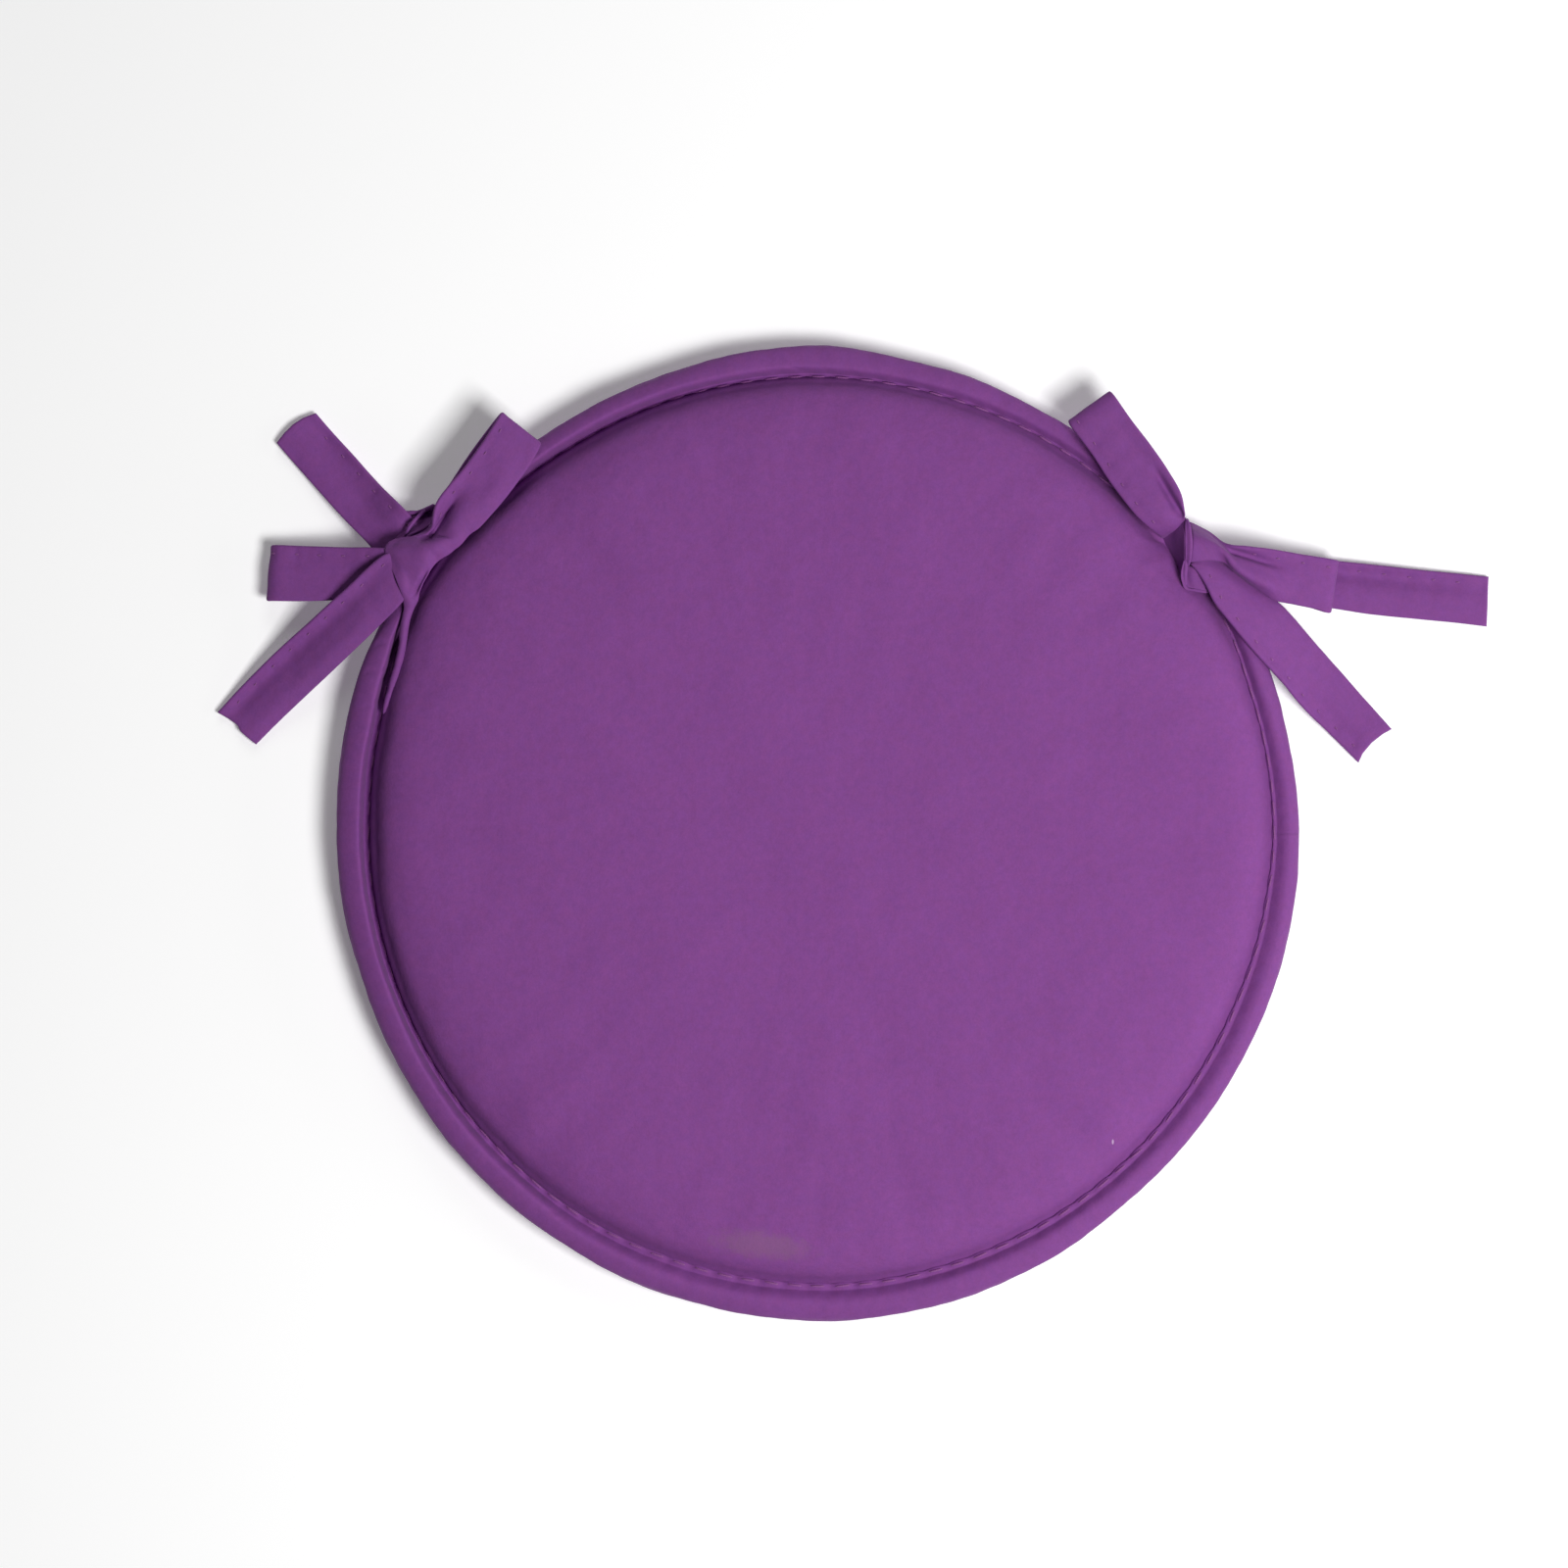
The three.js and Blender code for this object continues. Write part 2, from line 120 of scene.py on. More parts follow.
def eased_table(rows, turn, column=1):
    """Value at an angle in degrees of a table with an angle in its first column, eased between rows."""
    rows = np.array(rows, float)
    angle, value = rows[:, 0], rows[:, column]
    turn = np.mod(turn, 360)
    low = np.clip(np.searchsorted(angle, turn, side="right") - 1, 0, len(angle) - 2)
    share = ease((turn - angle[low]) / (angle[low + 1] - angle[low]))
    return value[low] + (value[low + 1] - value[low]) * share


def seam_at(angle):
    """Radius of the seam at an angle in radians."""
    return eased_table(SEAM_LINE, np.degrees(angle))


def outline_at(angle):
    """Radius of the outline at an angle in radians."""
    return EDGE_RADIUS + eased_table(OUTLINE, np.degrees(angle))


def waves(x, y, length, seed):
    """Soft unevenness of about -1 to 1: plane waves of about one length, in seeded directions.

    Their sum is scaled by √(2 / count) / 2, so that its size doesn't hang on how many there are.
    """
    draw = np.random.default_rng(seed)
    heading = draw.uniform(0, 2 * np.pi, WAVE_COUNT)
    phase = draw.uniform(0, 2 * np.pi, WAVE_COUNT)
    pitch = 2 * np.pi / (length * draw.uniform(*WAVE_SPREAD, WAVE_COUNT))
    total = 0
    for h, p, k in zip(heading, phase, pitch):
        total = total + np.sin(k * (x * np.cos(h) + y * np.sin(h)) + p)
    return total * np.sqrt(2 / WAVE_COUNT) / 2


def layered_waves(x, y, layers):
    """The sum of layers of waves, each with its height, its length and its seed."""
    return sum(height * waves(x, y, length, seed) for height, length, seed in layers)


def bell(distance, width):
    """A bell of height 1: exp(-(distance / width)²)."""
    return np.exp(-((distance / width) ** 2))


def curve_through(points, t):
    """Smooth cubic curve through points, at t from 0 to one less than their number.

    Its slope at a point comes from the two neighbours, weighed by the square roots of their distances,
    so that it neither loops nor swings out where points lie close together.
    """
    points = np.asarray(points, float)
    held = np.vstack([2 * points[0] - points[1], points, 2 * points[-1] - points[-2]])
    gap = np.maximum(np.linalg.norm(np.diff(held, axis=0), axis=1) ** 0.5, 1e-4)
    low = np.clip(np.floor(t).astype(int), 0, len(points) - 2)
    w = (t - low)[:, None]
    p0, p1, p2, p3 = (held[low + k] for k in range(4))
    d0, d1, d2 = (gap[low + k][:, None] for k in range(3))
    m1 = ((p1 - p0) / d0 - (p2 - p0) / (d0 + d1) + (p2 - p1) / d1) * d1
    m2 = ((p2 - p1) / d1 - (p3 - p1) / (d1 + d2) + (p3 - p2) / d2) * d1
    return p1 + m1 * w + (3 * (p2 - p1) - 2 * m1 - m2) * w**2 + (2 * (p1 - p2) + m1 + m2) * w**3


def unit(vectors):
    """Vectors divided by their length."""
    return vectors / np.maximum(np.linalg.norm(vectors, axis=-1, keepdims=True), 1e-9)


def distance_along(points):
    """Distance of each point of a line from its first, the sum of the steps between them."""
    return np.concatenate([[0], np.cumsum(np.linalg.norm(np.diff(points, axis=0), axis=1))])


def spline_weights(count, t):
    """Weights of count even columns at places t: a smooth cubic spline through them.

    Its slope at a column is half the step between its neighbours, and it is straight past its ends.
    """
    low = np.clip(np.floor(t).astype(int), 0, count - 2)
    w = t - low
    basis = [
        -0.5 * w + w**2 - 0.5 * w**3, 1 - 2.5 * w**2 + 1.5 * w**3,
        0.5 * w + 2 * w**2 - 1.5 * w**3, -0.5 * w**2 + 0.5 * w**3,
    ]
    held = np.zeros((len(t), count + 2))
    for k, share in enumerate(basis):
        held[np.arange(len(t)), low + k] += share
    weights = held[:, 1:-1].copy()
    weights[:, 0] += 2 * held[:, 0]
    weights[:, 1] -= held[:, 0]
    weights[:, -1] += 2 * held[:, -1]
    weights[:, -2] -= held[:, -1]
    return weights


# Meshes. A part is (points, quads, cloth), where cloth holds each point's place on the flat cloth:
# along it and across it, in millimetres.

CLOTH_PLACE = "cloth"


def grid_quads(rows, columns, row_loop=False, column_loop=False):
    """Quads of a grid of points numbered row by row, joined end to start where a loop is asked for."""
    steps_along = np.arange(rows if row_loop else rows - 1)
    steps_across = np.arange(columns if column_loop else columns - 1)
    i, j = (place.ravel() for place in np.meshgrid(steps_along, steps_across, indexing="ij"))
    near, far = i * columns, (i + 1) % rows * columns
    left, right = j, (j + 1) % columns
    return np.stack([near + left, near + right, far + right, far + left], axis=1)


def pillow(top, bottom, cloth):
    """Closed part of two grids that share their rim: the bottom's rim points are the top's."""
    rows, columns = top.shape[:2]
    number = np.arange(rows * columns).reshape(rows, columns)
    under = number.copy()
    inner = (rows - 2) * (columns - 2)
    under[1:-1, 1:-1] = rows * columns + np.arange(inner).reshape(rows - 2, columns - 2)
    quads = grid_quads(rows, columns)
    points = np.vstack([top.reshape(-1, 3), bottom[1:-1, 1:-1].reshape(-1, 3)])
    flat = np.vstack([cloth.reshape(-1, 2), cloth[1:-1, 1:-1].reshape(-1, 2)])
    return points, np.vstack([quads, under.ravel()[quads][:, ::-1]]), flat


def turned_out(part):
    """The part with its faces pointing out: its quads are turned where its signed volume is negative."""
    points, quads, cloth = part
    corner = points - points.mean(0)
    a, b, c, d = (corner[quads[:, k]] for k in range(4))
    volume = np.einsum("ij,ij->", a, np.cross(b, c)) + np.einsum("ij,ij->", a, np.cross(c, d))
    return (points, quads[:, ::-1] if volume < 0 else quads, cloth)


def link_mesh(name, points, faces, material):
    """A smooth mesh object of one material at the origin, its points put from millimetres into metres."""
    mesh = bpy.data.meshes.new(name)
    mesh.from_pydata(points * MM, [], faces)
    mesh.polygons.foreach_set("use_smooth", np.ones(len(mesh.polygons), bool))
    mesh.materials.append(material)
    mesh.update()
    piece = bpy.data.objects.new(name, mesh)
    bpy.context.scene.collection.objects.link(piece)
    return piece


def make_piece(name, parts, material):
    """One object from closed parts, which carries their places on the flat cloth as an attribute."""
    points, quads, cloth, start = [], [], [], 0
    for part in map(turned_out, parts):
        points.append(part[0])
        quads.append(part[1] + start)
        cloth.append(part[2])
        start += len(part[0])
    piece = link_mesh(name, np.vstack(points), np.vstack(quads), material)
    flat = np.vstack(cloth)
    place = np.hstack([flat, np.zeros((len(flat), 1))]).astype(np.float32)
    attribute = piece.data.attributes.new(CLOTH_PLACE, "FLOAT_VECTOR", "POINT")
    attribute.data.foreach_set("vector", place.ravel())
    return piece


# Materials


class Number:
    """A socket that carries a number. Sums written with it add Math nodes to its material."""

    def __init__(self, paint, socket):
        self.paint = paint
        self.socket = socket

    def math(self, operation, *terms):
        """A Math node of an operation on its terms."""
        return self.paint.number("ShaderNodeMath", {"operation": operation}, dict(enumerate(terms)))

    def __add__(self, other):
        return self.math("ADD", self, other)

    __radd__ = __add__

    def __sub__(self, other):
        return self.math("SUBTRACT", self, other)

    def __rsub__(self, other):
        return self.math("SUBTRACT", other, self)

    def __mul__(self, other):
        return self.math("MULTIPLY", self, other)

    __rmul__ = __mul__

    def __truediv__(self, other):
        return self.math("DIVIDE", self, other)

    def __pow__(self, other):
        return self.math("POWER", self, other)

    def sine(self):
        return self.math("SINE", self)

    def swing(self, amount):
        """A noise of 0 to 1 made a swing about 0 of half the amount either way."""
        return (self - 0.5) * amount

    def between(self, low, high):
        """0 below low, 1 above high, and a smooth step between."""
        settings = {"interpolation_type": "SMOOTHSTEP", "clamp": True}
        inputs = {"Value": self, "From Min": low, "From Max": high}
        return self.paint.number("ShaderNodeMapRange", settings, inputs)


class Paint:
    """One material's node tree."""

    def __init__(self, name):
        self.material = bpy.data.materials.new(name)
        self.material.use_nodes = True
        self.tree = self.material.node_tree
        self.shader = self.tree.nodes["Principled BSDF"]

    def node(self, kind, settings=None, inputs=None):
        """A node of a type, with its settings set first and then its sockets' values or links."""
        node = self.tree.nodes.new(kind)
        for name, value in (settings or {}).items():
            setattr(node, name, value)
        self.feed(node, inputs or {})
        return node

    def feed(self, node, inputs):
        """Sets each named socket of a node to a value, or links a socket or a Number to it."""
        for name, value in inputs.items():
            value = value.socket if isinstance(value, Number) else value
            if isinstance(value, bpy.types.NodeSocket):
                self.tree.links.new(value, node.inputs[name])
            else:
                node.inputs[name].default_value = value

    def number(self, kind, settings=None, inputs=None):
        """The first output of such a node, as a Number."""
        return Number(self, self.node(kind, settings, inputs).outputs[0])

    def mix(self, factor, low, high, blend="MIX"):
        """Colour between low and high. The Mix node's colour sockets are its seventh and eighth."""
        settings = {"data_type": "RGBA", "blend_type": blend}
        return self.node("ShaderNodeMix", settings, {0: factor, 6: low, 7: high}).outputs[2]

    def toned(self, colour, tone):
        """The colour times a grey of that tone."""
        grey = self.node("ShaderNodeCombineColor", None, dict.fromkeys(range(3), tone)).outputs[0]
        return self.mix(1.0, colour, grey, "MULTIPLY")

    def noise(self, place, length, detail=2.0, roughness=0.5):
        """Noise of 0 to 1 whose blotches are about that length across, in the units of place."""
        inputs = {"Vector": place, "Scale": 1 / length, "Detail": detail, "Roughness": roughness}
        return self.number("ShaderNodeTexNoise", None, inputs)

    def flat_place(self):
        """A point's place on the flat cloth, in mm, which the pieces' meshes carry."""
        return self.node("ShaderNodeAttribute", {"attribute_name": CLOTH_PLACE}).outputs["Vector"]

    def object_place(self, scale=1.0):
        """A point's place in its object, in metres times scale."""
        inputs = {0: self.node("ShaderNodeTexCoord").outputs["Object"], "Scale": scale}
        return self.node("ShaderNodeVectorMath", {"operation": "SCALE"}, inputs).outputs[0]

    def axes(self, place):
        """A place's shares along x and y."""
        split = self.node("ShaderNodeSeparateXYZ", None, {"Vector": place})
        return [Number(self, split.outputs[k]) for k in range(2)]

    def bump(self, height, distance, strength, normal=None):
        """A normal turned by a height map, on top of another normal where one is given."""
        inputs = {"Height": height, "Distance": distance, "Strength": strength}
        if normal is not None:
            inputs["Normal"] = normal
        return self.node("ShaderNodeBump", None, inputs).outputs["Normal"]


def tinted(colour, warm=0.0):
    """A linear colour, redder and less blue where warm is above 0, and bluer where it is below."""
    red, green, blue = colour
    return (red * (1 + warm), green, blue * (1 - warm), 1.0)


# Colours, linear
PANEL_PURPLE = (0.209, 0.0545, 0.256)
BINDING_PURPLE = (0.203, 0.0530, 0.250)
TIE_PURPLE = (0.198, 0.0522, 0.247)
THREAD_PURPLE = (0.262, 0.062, 0.275)
STAIN_BROWN = (0.235, 0.105, 0.215, 1.0)
FLECK_PALE = (0.46, 0.30, 0.50, 1.0)
SHEEN_TINT = (0.85, 0.62, 0.95, 1.0)

# What varies over the cloth: its length in millimetres, and the detail and roughness of its noise
BLOTCH = (22, 2)
MOTTLE = (2.2, 3, 0.6)
FIBRE = (0.6, 2, 0.7)
HUE = (3.2, 3, 0.6)
NAP = (0.9, 3, 0.65)
SAG = (7, 2)
WEAVE_PITCH = 0.5

# How much each of them does: to the tone, to red against blue, and to the roughness
BLOTCH_TONE = 0.10
MOTTLE_TONE = 0.28
FIBRE_TONE = 0.24
HUE_SWING = 0.026
ROUGHNESS_SWING = 0.12

# Height in metres and strength of the cloth's two bump layers, and the weave's share in the finer one
NAP_BUMP = (0.0002, 0.5)
SAG_BUMP = (0.0006, 0.35)
WEAVE_SHARE = 0.06

# The stain by the lower edge and the speck of lint, in millimetres: their middles and half sizes
STAIN_MIDDLE = (-17.5, -129.2)
STAIN_SIZE = (19, 5.5)
STAIN_SLOPE = 0.10
STAIN_UNEVEN = 0.9
STAIN_STRENGTH = 0.5
FLECK_MIDDLE = (91.1, -95.6)
FLECK_SIZE = (0.35, 0.9)

# The thread: pitch in millimetres of its twist along it, turn of the twist round it, the twist's
# share in the tone and its bump, and the length and share in the tone of its blotches
PLY_PITCH = 0.7
PLY_TURN = 4
PLY_TONE = 0.10
PLY_BUMP = (0.00008, 0.6)
THREAD_BLOTCH = 5
THREAD_TONE = 0.3


def cloth_material(name, purple, marks=()):
    """Matte, short-napped plain weave in one purple.

    Its colour drifts a little between redder and bluer, lighter and darker, in blotches, mottle and
    fibres. The bump holds the weave's threads, a sine along times a sine across, the nap, and soft
    unevenness. Cloth with marks is read at its object's own coordinates, where they have their
    places, and other cloth at its place on the flat cloth.
    """
    paint = Paint(name)
    place = paint.object_place(1 / MM) if marks else paint.flat_place()
    along, across = paint.axes(place)
    mottle = paint.noise(place, *MOTTLE)
    tone = 1 + paint.noise(place, *BLOTCH).swing(BLOTCH_TONE) + mottle.swing(MOTTLE_TONE)
    tone = tone + paint.noise(place, *FIBRE).swing(FIBRE_TONE)
    drift = paint.noise(place, *HUE).between(0.25, 0.75)
    hue = paint.mix(drift, tinted(purple, HUE_SWING), tinted(purple, -HUE_SWING))
    colour = paint.toned(hue, tone)
    for mark in marks:
        colour = mark(paint, along, across, colour, mottle)
    turn = 2 * np.pi / WEAVE_PITCH
    weave = (along * turn).sine() * (across * turn).sine()
    nap = paint.bump(weave * WEAVE_SHARE + paint.noise(place, *NAP), *NAP_BUMP)
    paint.feed(paint.shader, {
        "Base Color": colour,
        "Roughness": 0.82 + mottle.swing(ROUGHNESS_SWING),
        "Specular IOR Level": 0.25,
        "Sheen Weight": 0.08,
        "Sheen Roughness": 0.45,
        "Sheen Tint": SHEEN_TINT,
        "Normal": paint.bump(paint.noise(place, *SAG), *SAG_BUMP, nap),
    })
    return paint.material


def stain(paint, along, across, colour, mottle):
    """A faint brownish mark by the lower edge: an uneven ellipse that slopes down to the right."""
    x = (along - STAIN_MIDDLE[0]) / STAIN_SIZE[0]
    y = (across - STAIN_MIDDLE[1] + along * STAIN_SLOPE) / STAIN_SIZE[1]
    reach = (x * x + y * y) ** 0.5 + mottle.swing(STAIN_UNEVEN)
    return paint.mix((1 - reach.between(0.35, 1.05)) * STAIN_STRENGTH, colour, STAIN_BROWN)


def fleck(paint, along, across, colour, mottle):
    """A tiny pale speck of lint, an ellipse."""
    x = (along - FLECK_MIDDLE[0]) / FLECK_SIZE[0]
    y = (across - FLECK_MIDDLE[1]) / FLECK_SIZE[1]
    return paint.mix(1 - (x * x + y * y).between(0.4, 1.1), colour, FLECK_PALE)


def thread_material():
    """Sewing thread a shade lighter than the cloth, with the twist of its plies as bump."""
    paint = Paint("sewing_thread")
    place = paint.flat_place()
    along, around = paint.axes(place)
    ply = (along * (2 * np.pi / PLY_PITCH) + around * PLY_TURN).sine()
    tone = 1 + ply * PLY_TONE + paint.noise(place, THREAD_BLOTCH).swing(THREAD_TONE)
    paint.feed(paint.shader, {
        "Base Color": paint.toned(tinted(THREAD_PURPLE), tone),
        "Roughness": 0.6 + ply * 0.05,
        "Sheen Weight": 0.2,
        "Normal": paint.bump(ply, *PLY_BUMP),
    })
    return paint.material


# The pad

# Spacing of its rings: radius, spacing. Under the seam they lie further apart.
PAD_SPACING = [(90, 4.0), (122, 1.6), (132, 0.55)]
UNDERSIDE_COARSER = 2.2
PAD_SECTORS = 720
PAD_SECTION_STEPS = 3000

# Unevenness of the filling: height, length, seed. It fades over a stretch towards the seam, and so
# does the simulated swelling. All relief begins a little over the seam and comes in over a rise.
PAD_WAVES = [(0.22, 48, 3), (0.10, 17, 4), (0.03, 6, 5)]
WAVES_FADE = 12
SWELLING_FADE = 9
RELIEF_START = SEAM_HEIGHT + 1
RELIEF_RISE = 3

# Puckers at the seam. Each stitch pulls a dent whose depth varies round the turn: mean, swing,
# length of a swing, seed. Longer puckers have seeded places and sizes.
DENT_DEPTH = (0.34, 0.22, 31, 8)
DENT_PHASE = 1.4
DENT_REACH = 1.8
PUCKERS = 54
PUCKER_SEED = 7
PUCKER_DEPTH = (0.08, 0.34)
PUCKER_WIDTH = (1.8, 4.5)
PUCKER_REACH = (5, 14)


def pad_profile(t):
    """Radius and height of the pad's half section, the smooth curve through its table's rows."""
    place = curve_through(PAD_SECTION, t)
    return np.maximum(place[:, 0], 0), np.clip(place[:, 1], 0, CROWN_HEIGHT)


def pad_steps():
    """Places along the half section, close together by the seam and far apart in the flat middles."""
    t = np.linspace(0, len(PAD_SECTION) - 1, 2 * PAD_SECTION_STEPS + 1)
    radius, height = pad_profile(t)
    run = np.hypot(np.diff(radius), np.diff(height))
    over = height[1:] > SEAM_HEIGHT
    spacing = np.interp(radius[1:], *zip(*PAD_SPACING)) * np.where(over, 1.0, UNDERSIDE_COARSER)
    steps = np.concatenate([[0], np.cumsum(run / spacing)])
    return np.interp(np.linspace(0, steps[-1], int(np.ceil(steps[-1])) + 1), steps, t)


# Cloth simulation of the cover: steps of its grid each way, frames, the cloth's mass and slack, the
# pressure inside, the share of the pad's height that it starts from, the share of what it moves
# that the pad takes on, and the most of that in millimetres
SIM_STEPS = 56
SIM_FRAMES = 20
SIM_QUALITY = 6
SIM_MASS = 0.25
SIM_SLACK = 0.012
SIM_PRESSURE = 4.0
SIM_START_SHARE = 0.93
SIM_SHARE = 0.2
SIM_MOST_MOVE = 1.0

# Points that the swelling is read at in one go
READ_AT_ONCE = 4096


def cover_heights(radius):
    """Heights of the pad's top and underside at a radius, straight between the section's points."""
    t = np.linspace(0, len(PAD_SECTION) - 1, PAD_SECTION_STEPS + 1)
    section_radius, section_height = pad_profile(t)
    over = section_height > SEAM_HEIGHT
    top = np.interp(radius, section_radius[over][::-1], section_height[over][::-1])
    return top, np.interp(radius, section_radius[~over], section_height[~over])


def blown_up(cover, rim):
    """Points of the cover after the cloth simulation, its rim held, pressed out from inside."""
    held = cover.vertex_groups.new(name="rim")
    held.add([int(k) for k in np.flatnonzero(rim.ravel())], 1.0, "REPLACE")
    cloth = cover.modifiers.new("Cloth", "CLOTH")
    cloth.settings.quality = SIM_QUALITY
    cloth.settings.mass = SIM_MASS
    cloth.settings.use_pressure = True
    cloth.settings.uniform_pressure_force = SIM_PRESSURE
    cloth.settings.effector_weights.gravity = 0
    cloth.settings.vertex_group_mass = held.name
    cloth.settings.shrink_min = -SIM_SLACK
    cloth.collision_settings.use_collision = False
    cloth.point_cache.frame_end = SIM_FRAMES
    for step in range(1, SIM_FRAMES + 1):
        bpy.context.scene.frame_set(step)
    shown = cover.evaluated_get(bpy.context.evaluated_depsgraph_get())
    place = np.zeros(len(shown.data.vertices) * 3, np.float32)
    shown.data.vertices.foreach_get("co", place)
    bpy.context.scene.frame_set(1)
    bpy.data.objects.remove(cover)
    return place.reshape(-1, 3) / MM


def simulated_swelling():
    """How far the top panel moves when cloth simulation blows the sewn cover up, on a square grid.

    The grid's square of -1 to 1 is drawn out to the round pad by x = u √(1 - v²/2) and
    y = v √(1 - u²/2). The cover starts lower than the pad, its rim is held in the seam, the cloth is
    a little too large, as gathered cloth is, and pressure stands for the filling. The pad's section
    holds its measured height, so the move is a share of what the simulation adds to the mean of
    each ring round the middle.
    """
    side = np.linspace(-1, 1, SIM_STEPS + 1)
    u, v = np.meshgrid(side, side, indexing="ij")
    x, y = u * np.sqrt(1 - v**2 / 2), v * np.sqrt(1 - u**2 / 2)
    radius = np.hypot(x, y) * SEAM_RADIUS
    rim = np.zeros_like(radius, bool)
    rim[[0, -1]] = rim[:, [0, -1]] = True
    top, under = (np.where(rim, SEAM_HEIGHT, height) for height in cover_heights(radius))
    start = SEAM_HEIGHT + (top - SEAM_HEIGHT) * SIM_START_SHARE
    pad_top, high, low = (
        np.stack([x * SEAM_RADIUS, y * SEAM_RADIUS, height], axis=-1) for height in (top, start, under)
    )
    cover = make_piece("cover_simulation", [pillow(high, low, high[..., :2])], None)
    move = blown_up(cover, rim)[:rim.size].reshape(high.shape) - pad_top
    ring = np.rint(radius / SEAM_RADIUS * SIM_STEPS / 2).astype(int).ravel()
    level = np.bincount(ring, move[..., 2].ravel()) / np.maximum(np.bincount(ring), 1)
    move[..., 2] -= level[ring].reshape(radius.shape)
    move *= SIM_SHARE
    size = np.linalg.norm(move, axis=-1, keepdims=True)
    return move * np.minimum(1, SIM_MOST_MOVE / np.maximum(size, 1e-6))


def read_grid(grid, x, y):
    """Values of a grid over the square at points of the unit disc, by splines along and across.

    The square's place of a point is u = (√(2 + x² - y² + 2√2 x) - √(2 + x² - y² - 2√2 x)) / 2, and
    the same for v with x and y changed over.
    """
    root = 2 * np.sqrt(2)

    def square(p, q):
        """The square's u of the disc's p and q."""
        base = 2 + p * p - q * q
        return (np.sqrt(np.maximum(base + root * p, 0)) - np.sqrt(np.maximum(base - root * p, 0))) / 2

    last = len(grid) - 1
    rows = spline_weights(last + 1, (square(x, y) + 1) / 2 * last)
    columns = spline_weights(last + 1, (square(y, x) + 1) / 2 * last)
    chunks = (slice(start, start + READ_AT_ONCE) for start in range(0, len(x), READ_AT_ONCE))
    return np.vstack([
        np.einsum("pi,ijc,pj->pc", rows[chunk], grid, columns[chunk], optimize=True) for chunk in chunks
    ])


def seam_puckers(angle, inset):
    """Depth of the panel's puckers at the seam, inset mm from it.

    A stitch's dent is a raised cosine round the turn that fades as exp(-inset / its reach). Each
    longer pucker is a bell in its own place that fades in the same way over its own reach.
    """
    draw = np.random.default_rng(PUCKER_SEED)
    mean, swing, length, seed = DENT_DEPTH
    uneven = mean + swing * waves(angle * SEAM_RADIUS, 0, length, seed)
    dent = 0.5 + 0.5 * np.cos(BINDING_STITCHES * angle + DENT_PHASE)
    depth = uneven * dent * np.exp(-inset / DENT_REACH)
    limits = ((0, 2 * np.pi), PUCKER_DEPTH, PUCKER_WIDTH, PUCKER_REACH)
    for place, high, wide, reach in zip(*(draw.uniform(*limit, PUCKERS) for limit in limits)):
        away = (np.mod(angle - place + np.pi, 2 * np.pi) - np.pi) * SEAM_RADIUS
        depth = depth + high * bell(away, wide) * np.exp(-inset / reach)
    return depth


# Creases of the pad that run from a knot: x, y of each end, depth, half width
PAD_CREASES = [
    (107.0, 91.6, 97.0, 92.6, 0.9, 1.6),
    (108.5, 85.5, 99.0, 82.0, 0.5, 2.2),
    (104.0, 94.5, 95.5, 99.0, 0.45, 2.0),
    (-124.5, 84.0, -116.0, 81.0, 0.4, 2.4),
]


def crease_depth(x, y, creases):
    """Depth of soft creases: a bell across each line.

    Along its length a crease comes in from -0.15 to 0.1 and goes out slowly, from 0.55 to 1.15.
    """
    depth = 0
    for x0, y0, x1, y1, deep, wide in creases:
        length = np.hypot(x1 - x0, y1 - y0)
        ux, uy = (x1 - x0) / length, (y1 - y0) / length
        on = ((x - x0) * ux + (y - y0) * uy) / length
        off = (x - x0) * uy - (y - y0) * ux
        fade = ease(on / 0.25 + 0.6) * ease((1.15 - on) / 0.6)
        depth = depth + deep * bell(off, wide) * fade
    return depth


def pad_rings(swelling):
    """Points of the pad's half section carried round the turn, a row for each ring.

    Near the edge the radius follows the seam. The top moves by the simulated swelling, less to its
    rim, and every point then moves along the section's normal by the waves of the filling less the
    dimples, creases and puckers.
    """
    t = pad_steps()[1:-1]
    radius, height = (values[:, None] for values in pad_profile(t))
    ahead, behind = pad_profile(t + 0.01), pad_profile(t - 0.01)
    slope = np.stack([ahead[0] - behind[0], ahead[1] - behind[1]])
    slope /= np.linalg.norm(slope, axis=0)
    normal_out, normal_up = slope[1][:, None], -slope[0][:, None]
    angle = np.arange(PAD_SECTORS) * 2 * np.pi / PAD_SECTORS
    half_way = SEAM_RADIUS / 2
    r = radius + (seam_at(angle) - SEAM_RADIUS) * ease((radius - half_way) / half_way)
    z = height + 0 * r
    x, y = r * np.cos(angle), r * np.sin(angle)
    over = ease((z - RELIEF_START) / RELIEF_RISE)
    if swelling is not None:
        rim = seam_at(angle) + SEAM_TUCK
        move = read_grid(swelling, (x / rim).ravel(), (y / rim).ravel()).reshape(*x.shape, 3)
        inner = over * ease((SEAM_RADIUS - r) / SWELLING_FADE)
        x, y, z = (old + move[..., k] * inner for k, old in enumerate((x, y, z)))
    for dimple_x, dimple_y, depth, reach in DIMPLES:
        z = z - over * depth * np.exp(-((x - dimple_x) ** 2 + (y - dimple_y) ** 2) / reach**2)
    inset = np.maximum(seam_at(angle) - r, 0)
    push = layered_waves(x, y, PAD_WAVES) * ease(inset / WAVES_FADE)
    push = (push - seam_puckers(angle, inset) - crease_depth(x, y, PAD_CREASES)) * over
    x = x + push * normal_out * np.cos(angle)
    y = y + push * normal_out * np.sin(angle)
    z = np.maximum(z - push * normal_up, 0)
    return np.stack([x, y, z], axis=-1)


